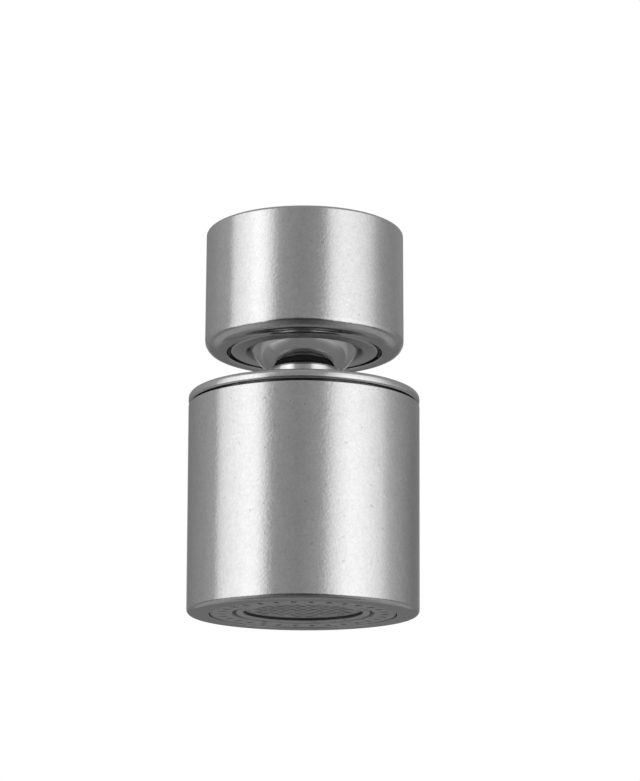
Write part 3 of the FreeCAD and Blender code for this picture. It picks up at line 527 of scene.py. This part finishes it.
# Painted shadow: a thin dark band on the recess's wall, where there is only shade.
recess_shadow_liner = turned("recess_shadow_liner", "head", "seal_rubber", [
    corner(POCKET_RADIUS - LINER_WALL, lip_bottom + LINER_RISE, 0.04),
    corner(POCKET_RADIUS, lip_bottom + LINER_RISE, 0.0),
    corner(POCKET_RADIUS, comb_bottom, 0.0),
    corner(POCKET_RADIUS - LINER_WALL, comb_bottom, 0.0),
])

# %% Make the honeycomb disc
COMB_RADIUS = node_radius("honeycomb_outlet")
CELL_WIDTH = 1.1
CELL_WALL = 0.3
CELL_EDGE = 0.05
COMB_BORDER = 0.3
COMB_STEPS = 96


def cell_places():
    """Centres of a close-packed pattern that stay clear of the disc's border."""
    pitch = CELL_WIDTH + CELL_WALL
    reach = COMB_RADIUS - COMB_BORDER - CELL_WIDTH / math.sqrt(3)
    rows = range(-7, 8)
    places = [(pitch * (column + row / 2), pitch * row * math.sqrt(3) / 2) for row in rows for column in rows]
    return [place for place in places if math.hypot(*place) <= reach]


def cell_wall(shape):
    """One six-sided cell with a worn mouth at both faces."""
    half = CELL_WIDTH / math.sqrt(3)
    levels = [(half + CELL_EDGE, comb_bottom), (half, comb_bottom + CELL_EDGE),
              (half, comb_top - CELL_EDGE), (half + CELL_EDGE, comb_top)]
    rings = []
    for radius, height in levels:
        turn = Matrix.Translation(Vector((0, 0, height)) * MM)
        ring = bmesh.ops.create_circle(shape, cap_ends=False, segments=6, radius=radius * MM, matrix=turn)
        rings.append(list({edge for point in ring["verts"] for edge in point.link_edges}))
    for lower, upper in zip(rings, rings[1:]):
        bmesh.ops.bridge_loops(shape, edges=lower + upper)


comb_shape = bmesh.new()
cell_wall(comb_shape)
cell = comb_shape.verts[:] + comb_shape.edges[:] + comb_shape.faces[:]
for across, along in cell_places():
    copied = bmesh.ops.duplicate(comb_shape, geom=cell)["geom"]
    bmesh.ops.translate(comb_shape, verts=[item for item in copied if isinstance(item, bmesh.types.BMVert)],
                        vec=Vector((across, along, 0)) * MM)
bmesh.ops.delete(comb_shape, geom=[item for item in cell if isinstance(item, bmesh.types.BMVert)],
                 context="VERTS")
for level in (comb_bottom, comb_top):
    fill_level(comb_shape, level, [COMB_RADIUS], COMB_STEPS)
spin_open(comb_shape, [corner(COMB_RADIUS, comb_bottom, 0.0), corner(COMB_RADIUS, comb_top, 0.0)], COMB_STEPS)
honeycomb = finish_piece(comb_shape, "honeycomb_disc", "head", "outlet_plastic", ["honeycomb_outlet"])
print("cells:", len(cell_places()))

# %% [markdown]
# ## Shared surface effects
#
# Four effects turn up in the finishes, so each is a small node group: fine grain, soft patches, worn edges
# and painted shade in recesses. The patterns read Object coordinates, which here are the real places in
# metres, so a grain keeps its true size on every piece. The groups only put out masks and values. The shader
# itself stays in each material.

# %% A small node-tree helper
def link_up(tree, source, target, output=0, entry=0):
    """Connect one node's output to another's input, by number or by name."""
    tree.links.new(source.outputs[output], target.inputs[entry])


def add_node(tree, kind, place, **settings):
    """Add a node, place it in the editor's grid and set its properties."""
    node = tree.nodes.new(kind)
    node.location = (place[0] * 200, place[1] * 200)
    for name, value in settings.items():
        setattr(node, name, value)
    return node


def set_inputs(node, **numbers):
    """Set unconnected inputs by name; an underscore stands for a space."""
    for name, value in numbers.items():
        node.inputs[name.replace("_", " ")].default_value = value
    return node


def new_group(name, inputs, outputs):
    """Empty node group with float inputs and outputs."""
    group = bpy.data.node_groups.new(name, "ShaderNodeTree")
    for title, value in inputs.items():
        socket = group.interface.new_socket(name=title, in_out="INPUT", socket_type="NodeSocketFloat")
        socket.default_value = value
    for title in outputs:
        group.interface.new_socket(name=title, in_out="OUTPUT", socket_type="NodeSocketFloat")
    return group, add_node(group, "NodeGroupInput", (-4, 0)), add_node(group, "NodeGroupOutput", (4, 0))


# %% Grain
def make_grain():
    """Fine grain with sparse specks. Scale is in cells per metre."""
    group, entry, result = new_group("surface_grain", {"Scale": 6000.0, "Speck level": 0.7},
                                     ["Height", "Specks"])
    place = add_node(group, "ShaderNodeTexCoord", (-3, 1))
    fine = set_inputs(add_node(group, "ShaderNodeTexNoise", (-2, 1)), Detail=3.0, Roughness=0.6)
    link_up(group, place, fine, "Object", "Vector")
    link_up(group, entry, fine, "Scale", "Scale")
    even = set_inputs(add_node(group, "ShaderNodeMapRange", (0, 1), clamp=True), From_Min=0.25,
                      From_Max=0.75)
    link_up(group, fine, even, 0, "Value")
    link_up(group, even, result, 0, "Height")
    coarse = add_node(group, "ShaderNodeMath", (-2, -1), operation="MULTIPLY")
    coarse.inputs[1].default_value = 0.55
    link_up(group, entry, coarse, "Scale", 0)
    spots = set_inputs(add_node(group, "ShaderNodeTexNoise", (-1, -1)), Detail=1.0)
    link_up(group, place, spots, "Object", "Vector")
    link_up(group, coarse, spots, 0, "Scale")
    above = add_node(group, "ShaderNodeMath", (0, -1), operation="SUBTRACT")
    link_up(group, spots, above, 0, 0)
    link_up(group, entry, above, "Speck level", 1)
    sharper = add_node(group, "ShaderNodeMath", (1, -1), operation="MULTIPLY", use_clamp=True)
    sharper.inputs[1].default_value = 12.0
    link_up(group, above, sharper)
    link_up(group, sharper, result, 0, "Specks")
    return group


GRAIN = make_grain()
print("group:", GRAIN.name)


# %% Soft patches
def make_patches():
    """Broad uneven patches from 0 to 1, as plating and handling leave them."""
    group, entry, result = new_group("soft_patches", {"Scale": 500.0}, ["Patches"])
    place = add_node(group, "ShaderNodeTexCoord", (-3, 0))
    broad = set_inputs(add_node(group, "ShaderNodeTexNoise", (-2, 0)), Detail=4.0, Roughness=0.7)
    link_up(group, place, broad, "Object", "Vector")
    link_up(group, entry, broad, "Scale", "Scale")
    spread = set_inputs(add_node(group, "ShaderNodeMapRange", (0, 0), clamp=True), From_Min=0.3,
                        From_Max=0.7)
    link_up(group, broad, spread, 0, "Value")
    link_up(group, spread, result, 0, "Patches")
    return group


PATCHES = make_patches()
print("group:", PATCHES.name)


# %% Worn edges
def make_edge_wear():
    """Mask of the edges, found by comparing the normal with one that is rounded off, broken up by noise."""
    group, entry, result = new_group("edge_wear", {"Radius": 0.0003, "Breakup": 900.0}, ["Wear"])
    plain = add_node(group, "ShaderNodeNewGeometry", (-3, 1))
    rounded = add_node(group, "ShaderNodeBevel", (-3, -1), samples=4)
    link_up(group, entry, rounded, "Radius", "Radius")
    alike = add_node(group, "ShaderNodeVectorMath", (-2, 0), operation="DOT_PRODUCT")
    link_up(group, plain, alike, "Normal", 0)
    link_up(group, rounded, alike, "Normal", 1)
    bend = set_inputs(add_node(group, "ShaderNodeMapRange", (-1, 0), clamp=True), From_Min=0.995,
                      From_Max=0.9)
    link_up(group, alike, bend, "Value", "Value")
    place = add_node(group, "ShaderNodeTexCoord", (-3, -2))
    uneven = set_inputs(add_node(group, "ShaderNodeTexNoise", (-2, -2)), Detail=3.0)
    link_up(group, place, uneven, "Object", "Vector")
    link_up(group, entry, uneven, "Breakup", "Scale")
    broken = set_inputs(add_node(group, "ShaderNodeMapRange", (-1, -2), clamp=True), From_Min=0.35,
                        From_Max=0.6)
    link_up(group, uneven, broken, 0, "Value")
    worn = add_node(group, "ShaderNodeMath", (1, 0), operation="MULTIPLY")
    link_up(group, bend, worn, 0, 0)
    link_up(group, broken, worn, 0, 1)
    link_up(group, worn, result, 0, "Wear")
    return group


EDGE_WEAR = make_edge_wear()
print("group:", EDGE_WEAR.name)


# %% Painted shade in recesses
def make_shade_in_recesses():
    """Mask of slots, cells and inner corners, where painted shade darkens the colour because little light
    gets in.
    """
    group, entry, result = new_group("painted_recess_shade", {"Reach": 0.001}, ["Painted shade"])
    closed_in = add_node(group, "ShaderNodeAmbientOcclusion", (-2, 0), samples=8, only_local=True)
    link_up(group, entry, closed_in, "Reach", "Distance")
    depth = set_inputs(add_node(group, "ShaderNodeMapRange", (0, 0), clamp=True), From_Min=0.85,
                       From_Max=0.35)
    link_up(group, closed_in, depth, "AO", "Value")
    link_up(group, depth, result, 0, "Painted shade")
    return group


SHADE_IN_RECESSES = make_shade_in_recesses()
print("group:", SHADE_IN_RECESSES.name)

# %% [markdown]
# ## Finishes
#
# One function builds every finish from the same parts, because they differ in numbers and not in kind: a
# base colour that specks darken and worn edges lighten, a roughness that patches and specks disturb, and a
# very low bump. On plated metal the bump is only a few thousandths of a millimetre, a fine grain on a coarser
# peel. That is enough to make the edge of a reflection crumble into fine dots, which is how satin plating
# shows itself. Numbers that are the same all over, such as the metallic value, sit on the shader's own
# sockets.

# %% Build one finish
# Near-black colour of the painted shade in recesses.
PAINTED_SHADE_GREY = 0.01


def finish_material(name, base, dark, worn, metallic, roughness, sway, grain_scale, grain_height,
                    speck_level, patch_scale, patch_depth=0.06, grain_depth=0.05, specular=0.5,
                    wear_radius=0.0003, mottle=0.0, mottle_scale=2100.0, peel=0.0,
                    crevice=0.0):
    """Procedural material. base, dark and worn are linear greys or colours; roughness varies by sway.

    Mottle is the depth of coarse blotches in the colour, and peel their height, in grain heights.
    """
    material = bpy.data.materials.new(name)
    material.use_nodes = True
    tree = material.node_tree
    shader = tree.nodes["Principled BSDF"]
    shader.inputs["Metallic"].default_value = metallic
    shader.inputs["Specular IOR Level"].default_value = specular
    grain = add_node(tree, "ShaderNodeGroup", (-5, 1), node_tree=GRAIN)
    grain.inputs["Scale"].default_value = grain_scale
    grain.inputs["Speck level"].default_value = speck_level
    patches = add_node(tree, "ShaderNodeGroup", (-5, 0), node_tree=PATCHES)
    patches.inputs["Scale"].default_value = patch_scale
    wear = add_node(tree, "ShaderNodeGroup", (-5, -1), node_tree=EDGE_WEAR)
    wear.inputs["Radius"].default_value = wear_radius
    blotches = add_node(tree, "ShaderNodeGroup", (-5, -2), node_tree=PATCHES)
    blotches.inputs["Scale"].default_value = mottle_scale

    depth = patch_depth + grain_depth
    share = add_node(tree, "ShaderNodeMix", (-5, 2), data_type="FLOAT")
    share.inputs["Factor"].default_value = grain_depth / depth
    link_up(tree, patches, share, "Patches", "A")
    link_up(tree, grain, share, "Height", "B")
    tint = add_node(tree, "ShaderNodeMix", (-4, 2), data_type="RGBA")
    tint.inputs["A"].default_value = (*[channel * (1 - depth) for channel in base], 1)
    tint.inputs["B"].default_value = (*[min(1.0, channel * (1 + depth)) for channel in base], 1)
    link_up(tree, share, tint, "Result", "Factor")
    specked = add_node(tree, "ShaderNodeMix", (-3, 2), data_type="RGBA")
    specked.inputs["B"].default_value = (*dark, 1)
    tree.links.new(tint.outputs["Result"], specked.inputs["A"])
    link_up(tree, grain, specked, "Specks", "Factor")
    edged = add_node(tree, "ShaderNodeMix", (-2, 2), data_type="RGBA")
    edged.inputs["B"].default_value = (*worn, 1)
    tree.links.new(specked.outputs["Result"], edged.inputs["A"])
    link_up(tree, wear, edged, "Wear", "Factor")
    colour = edged
    if mottle > 0:
        shade = set_inputs(add_node(tree, "ShaderNodeMapRange", (-3, 3)), To_Min=1 - mottle,
                           To_Max=1 + mottle)
        link_up(tree, blotches, shade, "Patches", "Value")
        mottled = add_node(tree, "ShaderNodeMix", (-1, 3), data_type="RGBA", blend_type="MULTIPLY")
        mottled.inputs["Factor"].default_value = 1.0
        tree.links.new(edged.outputs["Result"], mottled.inputs["A"])
        tree.links.new(shade.outputs[0], mottled.inputs["B"])
        colour = mottled
    # Painted shade: the colour darkens towards near black in slots, cells and gaps that ambient occlusion
    # finds.
    if crevice > 0:
        recess = add_node(tree, "ShaderNodeGroup", (-2, 4), node_tree=SHADE_IN_RECESSES)
        deeper = add_node(tree, "ShaderNodeMath", (-1, 4), operation="MULTIPLY")
        deeper.inputs[1].default_value = crevice
        link_up(tree, recess, deeper, "Painted shade", 0)
        dimmed = add_node(tree, "ShaderNodeMix", (-1, 2), data_type="RGBA")
        dimmed.inputs["B"].default_value = (*[PAINTED_SHADE_GREY] * 3, 1)
        link_up(tree, deeper, dimmed, 0, "Factor")
        tree.links.new(colour.outputs["Result"], dimmed.inputs["A"])
        colour = dimmed
    tree.links.new(colour.outputs["Result"], shader.inputs["Base Color"])

    gloss = set_inputs(add_node(tree, "ShaderNodeMapRange", (-3, 0), clamp=True),
                       To_Min=roughness - sway, To_Max=roughness + sway)
    link_up(tree, patches, gloss, "Patches", "Value")
    dulled = add_node(tree, "ShaderNodeMath", (-2, 0), operation="MULTIPLY_ADD", use_clamp=True)
    dulled.inputs[1].default_value = sway
    link_up(tree, grain, dulled, "Specks", 0)
    link_up(tree, gloss, dulled, 0, 2)
    link_up(tree, dulled, shader, 0, "Roughness")

    bump = set_inputs(add_node(tree, "ShaderNodeBump", (-2, -1)), Strength=1.0, Distance=grain_height)
    relief = add_node(tree, "ShaderNodeMath", (-3, -1), operation="MULTIPLY_ADD")
    relief.inputs[1].default_value = peel
    link_up(tree, blotches, relief, "Patches", 0)
    link_up(tree, grain, relief, "Height", 2)
    link_up(tree, relief, bump, 0, "Height")
    link_up(tree, bump, shader, 0, "Normal")
    return material


def grey(level):
    """A neutral colour."""
    return (level, level, level)


# %% [markdown]
# The two metals carry the picture. The satin plating is a mid grey that scatters its reflections a little,
# with small dark pits and a slightly brighter line on worn edges. The ball is the same plating polished,
# so it is brighter, far smoother, and shows only faint cloudy patches.

# %% The metals
FINISHES = {
    "satin_metal": finish_material(
        "satin_metal", grey(0.62), grey(0.5), grey(0.7), metallic=1.0, roughness=0.14, sway=0.03,
        grain_scale=3000.0, grain_height=0.000007, speck_level=0.7, patch_scale=650.0, patch_depth=0.04,
        grain_depth=0.05, mottle=0.055, peel=0.22),
    "polished_metal": finish_material(
        "polished_metal", grey(0.64), grey(0.5), grey(0.7), metallic=1.0, roughness=0.06, sway=0.02,
        grain_scale=4000.0, grain_height=0.0000006, speck_level=0.74, patch_scale=350.0, patch_depth=0.02),
    "screen_steel": finish_material(
        "screen_steel", grey(0.56), grey(0.35), grey(0.68), metallic=1.0, roughness=0.3, sway=0.06,
        grain_scale=5000.0, grain_height=0.000002, speck_level=0.68, patch_scale=600.0),
    "spring_steel": finish_material(
        "spring_steel", (0.44, 0.44, 0.45), grey(0.25), grey(0.55), metallic=1.0, roughness=0.35, sway=0.06,
        grain_scale=4000.0, grain_height=0.000002, speck_level=0.68, patch_scale=600.0),
}
MATT_PLATING = finish_material(
    "matt_plating", grey(0.68), grey(0.5), grey(0.72), metallic=1.0, roughness=0.45, sway=0.05,
    grain_scale=4200.0, grain_height=0.000006, speck_level=0.7, patch_scale=650.0, patch_depth=0.05,
    grain_depth=0.1)
print("metals:", ", ".join(FINISHES))

# %% [markdown]
# The outlet is a dark grey moulded plastic, matt and faintly pebbled, so that its ring, slots and honeycomb
# read almost as one tone and only their gaps are dark, darkened further by painted shade in the recesses.
# The inner pieces are off-white acetal and a mid grey plastic. They are hidden at rest, but a user who takes
# the part apart or moves its casing sees them.

# %% The plastics and the rubber
# The outlet gets painted shade in its slots, cells and gaps.
FINISHES["outlet_plastic"] = finish_material(
    "outlet_plastic", (0.56, 0.56, 0.565), grey(0.36), grey(0.64), metallic=0.0, roughness=0.5, sway=0.08,
    grain_scale=3500.0, grain_height=0.000006, speck_level=0.62, patch_scale=450.0, patch_depth=0.12,
    crevice=0.9)
FINISHES["inner_plastic"] = finish_material(
    "inner_plastic", (0.77, 0.765, 0.74), (0.6, 0.59, 0.56), (0.82, 0.82, 0.8), metallic=0.0,
    roughness=0.45, sway=0.08, grain_scale=3000.0, grain_height=0.000005, speck_level=0.72,
    patch_scale=300.0, patch_depth=0.03)
FINISHES["aerator_plastic"] = finish_material(
    "aerator_plastic", (0.5, 0.505, 0.51), grey(0.36), grey(0.58), metallic=0.0, roughness=0.45, sway=0.08,
    grain_scale=3000.0, grain_height=0.000005, speck_level=0.7, patch_scale=350.0, patch_depth=0.06)
FINISHES["seal_rubber"] = finish_material(
    "seal_rubber", grey(0.035), grey(0.02), grey(0.07), metallic=0.0, roughness=0.62, sway=0.1,
    grain_scale=2500.0, grain_height=0.000008, speck_level=0.7, patch_scale=400.0, patch_depth=0.25)
print("finishes:", len(FINISHES))

# %% [markdown]
# Every solid of the frame comes in with a plain material that is named after its slot, and every new piece
# knows its slot too. So one loop gives the whole object its finishes.

# %% Dress every piece
for node in frame["nodes"].values():
    node.material_slots[0].material = FINISHES[node.material_slots[0].material.name.split(".")[0]]
new_pieces = (nut, thread, ball_ring, ball, cover, collar, casing, spray_ring, aerator_ring, recess_shadow_liner,
              honeycomb)
for piece in new_pieces:
    piece.data.materials.append(FINISHES[piece["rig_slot"]])
ball_ring.material_slots[0].material = MATT_PLATING
print("dressed:", len(frame["nodes"]), "solids and", len(new_pieces), "new pieces")

# %% [markdown]
# ## Light
#
# Satin metal shows nothing but its surroundings, so the light is the shape of the studio: two tall soft
# boxes, left and right of the camera, a dim front between them, and dim corners behind. They are painted
# into the world by direction. Two colour ramps run once round the horizon, one for the light that the casing
# reflects and one a little higher for the nut. Two more run below it, for the dark edge where the boxes end
# and for the table under it. Above, everything melts into one broad soft light. Lamps could do the same, but
# a ramp can be read straight off the bands that the photograph shows on the casing. The camera itself sees a
# white page: Is Camera Ray shows it to the camera alone, because in the metal it would wash out the bands.

# %% Read the direction
world = bpy.data.worlds.new("soft_studio")
bpy.context.scene.world = world
world.use_nodes = True
sky = world.node_tree
sky.nodes.clear()
direction = add_node(sky, "ShaderNodeTexCoord", (-8, 0))
parts = add_node(sky, "ShaderNodeSeparateXYZ", (-7, 0))
link_up(sky, direction, parts, "Generated", 0)
toward = add_node(sky, "ShaderNodeMath", (-6, 1), operation="MULTIPLY")
toward.inputs[1].default_value = -1.0
link_up(sky, parts, toward, "Y", 0)
heading = add_node(sky, "ShaderNodeMath", (-5, 1), operation="ARCTAN2")
link_up(sky, parts, heading, "X", 0)
link_up(sky, toward, heading, 0, 1)
around = set_inputs(add_node(sky, "ShaderNodeMapRange", (-4, 1), clamp=True), From_Min=-math.pi,
                    From_Max=math.pi)
link_up(sky, heading, around, 0, "Value")


# %% Paint the studio
RAMP_TOP = 1.6


def light_ramp(levels, place):
    """Colour ramp round the horizon: (degrees from the camera's side, positive to the right, light)."""
    ramp = add_node(sky, "ShaderNodeValToRGB", place)
    stops = ramp.color_ramp.elements
    while len(stops) > 1:
        stops.remove(stops[0])
    for index, (angle, level) in enumerate(levels):
        spot = (angle + 180) / 360
        stop = stops[0] if index == 0 else stops.new(spot)
        stop.position = spot
        stop.color = (level / RAMP_TOP, level / RAMP_TOP, level / RAMP_TOP, 1)
    link_up(sky, around, ramp, 0, "Fac")
    return ramp


low_walls = light_ramp([
    (-180, 0.17), (-167, 0.19), (-135, 0.31), (-115, 0.38), (-103, 0.45), (-95.5, 0.5), (-92, 0.9),
    (-87, 1.08), (-81, 1.19), (-69, 1.36), (-57, 1.5), (-47, 1.47), (-42, 1.26), (-38, 0.96), (-34, 0.6),
    (-30, 0.42), (-22, 0.37), (-5, 0.315), (5, 0.36), (17, 0.46), (22, 0.66), (26, 0.96), (32, 1.16),
    (38, 1.36), (48, 1.52), (58, 1.43), (70, 1.25), (83, 0.97), (90, 0.66), (104, 0.46), (121, 0.32),
    (137, 0.235)], (-3, 3))
high_walls = light_ramp([
    (-180, 0.22), (-160, 0.26), (-135, 0.33), (-115, 0.42), (-104, 0.47), (-95, 0.48), (-91, 0.9),
    (-84, 1.12), (-72, 1.3), (-57, 1.6), (-49, 1.5), (-43, 1.26), (-37, 0.92), (-32, 0.56), (-26, 0.42),
    (-17, 0.37), (-6, 0.32), (8, 0.34), (20, 0.41), (26, 0.62), (30, 0.98), (36, 1.18), (45, 1.28),
    (58, 1.26), (72, 1.1), (83, 0.85), (92, 0.56), (104, 0.38), (125, 0.32), (150, 0.33),
    (180, 0.22)], (-3, 2))
below = light_ramp([
    (-180, 0.165), (-163, 0.18), (-140, 0.26), (-108, 0.22), (-80, 0.14), (-45, 0.08), (-22, 0.05),
    (0, 0.03), (22, 0.05), (45, 0.09), (80, 0.15), (108, 0.22), (140, 0.26), (163, 0.18),
    (180, 0.165)], (-3, 0))
table = light_ramp([
    (-180, 0.3), (-140, 0.36), (-105, 0.38), (-75, 0.42), (-60, 0.36), (-45, 0.25), (-22, 0.12),
    (0, 0.07), (22, 0.12), (45, 0.25), (60, 0.36), (75, 0.42), (105, 0.38), (140, 0.36),
    (180, 0.3)], (-3, -2))
print("light stops:", [len(ramp.color_ramp.elements) for ramp in (low_walls, high_walls, below, table)])


# %% Blend by height
BOX_DROP = 0.3
FOOT_LIGHT = 0.14
OVERHEAD_LIGHT = 0.38


def blend_by_height(low, high, lower, upper, place, height=None):
    """Mix two lights between two heights above the horizon, given in degrees."""
    factor = set_inputs(add_node(sky, "ShaderNodeMapRange", place, interpolation_type="SMOOTHSTEP"),
                        From_Min=math.sin(math.radians(low)), From_Max=math.sin(math.radians(high)))
    sky.links.new(height or parts.outputs["Z"], factor.inputs["Value"])
    mix = add_node(sky, "ShaderNodeMix", (place[0] + 1, place[1]), data_type="RGBA")
    link_up(sky, factor, mix, 0, "Factor")
    for source, entry in ((lower, "A"), (upper, "B")):
        if isinstance(source, float):
            mix.inputs[entry].default_value = (source / RAMP_TOP,) * 3 + (1,)
        else:
            sky.links.new(source.outputs["Result" if "Result" in source.outputs else "Color"],
                          mix.inputs[entry])
    return mix


table_edge = blend_by_height(-24, -17, table, below, (-2, -2))
underneath = blend_by_height(-75, -45, FOOT_LIGHT, table_edge, (-1, -1))
upright = blend_by_height(12.5, 15.5, low_walls, high_walls, (-2, 2))
box_foot = add_node(sky, "ShaderNodeMath", (-1, 3), operation="MULTIPLY_ADD")
box_foot.inputs[1].default_value = BOX_DROP
sky.links.new(upright.outputs["Result"], box_foot.inputs[0])
link_up(sky, parts, box_foot, "Z", 2)
walls = blend_by_height(-4, 2, underneath, upright, (0, 0), box_foot.outputs[0])
studio = blend_by_height(27, 44, walls, OVERHEAD_LIGHT, (2, 1))

# %% Hang a soft box behind
BACK_BOX_LIGHT = 0.5
BACK_BOX_EDGE = (0.93, 0.98)
BACK_BOX_RISE = math.sin(math.radians(6))
behind = set_inputs(add_node(sky, "ShaderNodeMapRange", (2, -1), interpolation_type="SMOOTHSTEP"),
                    From_Min=BACK_BOX_EDGE[0], From_Max=BACK_BOX_EDGE[1])
link_up(sky, parts, behind, "Y", "Value")
raised = set_inputs(add_node(sky, "ShaderNodeMapRange", (2, -2), interpolation_type="SMOOTHSTEP"),
                    From_Min=0.0, From_Max=BACK_BOX_RISE)
link_up(sky, parts, raised, "Z", "Value")
back_box = add_node(sky, "ShaderNodeMath", (3, -1), operation="MULTIPLY")
link_up(sky, behind, back_box, 0, 0)
link_up(sky, raised, back_box, 0, 1)
all_round = add_node(sky, "ShaderNodeMix", (3, 1), data_type="RGBA")
all_round.inputs["B"].default_value = (BACK_BOX_LIGHT / RAMP_TOP,) * 3 + (1,)
link_up(sky, back_box, all_round, 0, "Factor")
sky.links.new(studio.outputs["Result"], all_round.inputs["A"])

light = add_node(sky, "ShaderNodeBackground", (4, 1))
light.inputs["Strength"].default_value = RAMP_TOP
sky.links.new(all_round.outputs["Result"], light.inputs["Color"])
page = add_node(sky, "ShaderNodeBackground", (4, -1))
page.inputs["Color"].default_value = (1, 1, 1, 1)
page.inputs["Strength"].default_value = 1.0
ray = add_node(sky, "ShaderNodeLightPath", (4, 3))
choose = add_node(sky, "ShaderNodeMixShader", (5, 0))
link_up(sky, ray, choose, "Is Camera Ray", "Fac")
link_up(sky, light, choose, 0, 1)
link_up(sky, page, choose, 0, 2)
out = add_node(sky, "ShaderNodeOutputWorld", (6, 0))
link_up(sky, choose, out, 0, "Surface")

# %% [markdown]
# ## Floor
#
# The photograph is taken from below the outlet, so a solid floor would hide the object. This floor is
# a pale disc that shows only from above, where it catches the shadow, and fades out into the white page.
# It lies a little under the outlet, because the tilted head and the lowered casing reach below their rest
# place by up to 6 mm, and a floor at the outlet face would cut them off.

# %% Lay the floor
FLOOR_RADIUS = 0.16
FLOOR_DROP = 6.2
FLOOR_FADE = (0.05, 0.15)
FLOOR_GREY = 0.85
floor_shape = bmesh.new()
bmesh.ops.create_circle(floor_shape, cap_ends=True, segments=96, radius=FLOOR_RADIUS,
                        matrix=Matrix.Translation((0, 0, -FLOOR_DROP * MM)))
floor_mesh = bpy.data.meshes.new("floor")
floor_shape.to_mesh(floor_mesh)
floor_shape.free()
floor = bpy.data.objects.new("floor", floor_mesh)
bpy.context.scene.collection.objects.link(floor)

pale = bpy.data.materials.new("pale_floor")
pale.use_nodes = True
tree = pale.node_tree
paper = tree.nodes["Principled BSDF"]
paper.inputs["Base Color"].default_value = (*grey(FLOOR_GREY), 1)
paper.inputs["Roughness"].default_value = 0.9
paper.inputs["Specular IOR Level"].default_value = 0.1
clear = add_node(tree, "ShaderNodeBsdfTransparent", (0, -2))
place = add_node(tree, "ShaderNodeTexCoord", (-5, 1))
distance = add_node(tree, "ShaderNodeVectorMath", (-4, 1), operation="LENGTH")
link_up(tree, place, distance, "Object", 0)
near = set_inputs(add_node(tree, "ShaderNodeMapRange", (-3, 1), interpolation_type="SMOOTHSTEP"),
                  From_Min=FLOOR_FADE[1], From_Max=FLOOR_FADE[0])
link_up(tree, distance, near, "Value", "Value")
sight = add_node(tree, "ShaderNodeLightPath", (-4, -1))
side = add_node(tree, "ShaderNodeNewGeometry", (-4, -2))
front = add_node(tree, "ShaderNodeMath", (-3, -2), operation="SUBTRACT")
front.inputs[0].default_value = 1.0
link_up(tree, side, front, "Backfacing", 1)
seen = add_node(tree, "ShaderNodeMath", (-2, -1), operation="MULTIPLY")
link_up(tree, sight, seen, "Is Camera Ray", 0)
link_up(tree, front, seen, 0, 1)
shown = add_node(tree, "ShaderNodeMath", (-1, 0), operation="MULTIPLY")
link_up(tree, seen, shown, 0, 0)
link_up(tree, near, shown, 0, 1)
mixed = add_node(tree, "ShaderNodeMixShader", (2, 0))
link_up(tree, shown, mixed, 0, "Fac")
link_up(tree, clear, mixed, 0, 1)
link_up(tree, paper, mixed, 0, 2)
link_up(tree, mixed, tree.nodes["Material Output"], 0, "Surface")
floor.data.materials.append(pale)
print("floor radius:", FLOOR_RADIUS / MM, "mm, lowered by", FLOOR_DROP, "mm")

# %% Light the floor from above
LAMP_HEIGHT = 0.8
LAMP_SIZE = 0.6
LAMP_POWER = 3.0
lamp_data = bpy.data.lights.new("floor_light", "AREA")
lamp_data.shape = "DISK"
lamp_data.size = LAMP_SIZE
lamp_data.energy = LAMP_POWER
lamp = bpy.data.objects.new("floor_light", lamp_data)
lamp.location = (0, 0, LAMP_HEIGHT)
lamp.visible_glossy = False
bpy.context.scene.collection.objects.link(lamp)
print("lamp:", LAMP_POWER, "W at", LAMP_HEIGHT, "m")

# %% [markdown]
# ## Camera
#
# The camera stands about 28 cm off, below the outlet, and looks up by nearly fourteen degrees, so that the
# underside of both the nut and the head shows. Its place and lens were fitted to the outlines of nut,
# cover, casing and ball in the photograph.

# %% Place the camera
CAMERA_PLACE = Vector((1.995, -277.698, -39.554)) * MM
CAMERA_PITCH = 0.24015
CAMERA_ROLL = 0.0034
FOCAL_PIXELS = 2271.42
FRAME_HEIGHT = 781
SENSOR_WIDTH = 36.0
camera_data = bpy.data.cameras.new("camera")
camera_data.sensor_fit = "AUTO"
camera_data.sensor_width = SENSOR_WIDTH
camera_data.lens = FOCAL_PIXELS * SENSOR_WIDTH / FRAME_HEIGHT
camera_data.clip_start = 0.01
camera_data.clip_end = 10.0
camera = bpy.data.objects.new("camera", camera_data)
bpy.context.scene.collection.objects.link(camera)
camera.matrix_world = (Matrix.Translation(CAMERA_PLACE)
                       @ Matrix.Rotation(math.pi / 2 + CAMERA_PITCH, 4, "X")
                       @ Matrix.Rotation(CAMERA_ROLL, 4, "Z"))
bpy.context.scene.camera = camera
bpy.context.scene.view_settings.view_transform = "Standard"
print("camera lens:", round(camera_data.lens, 2), "mm")
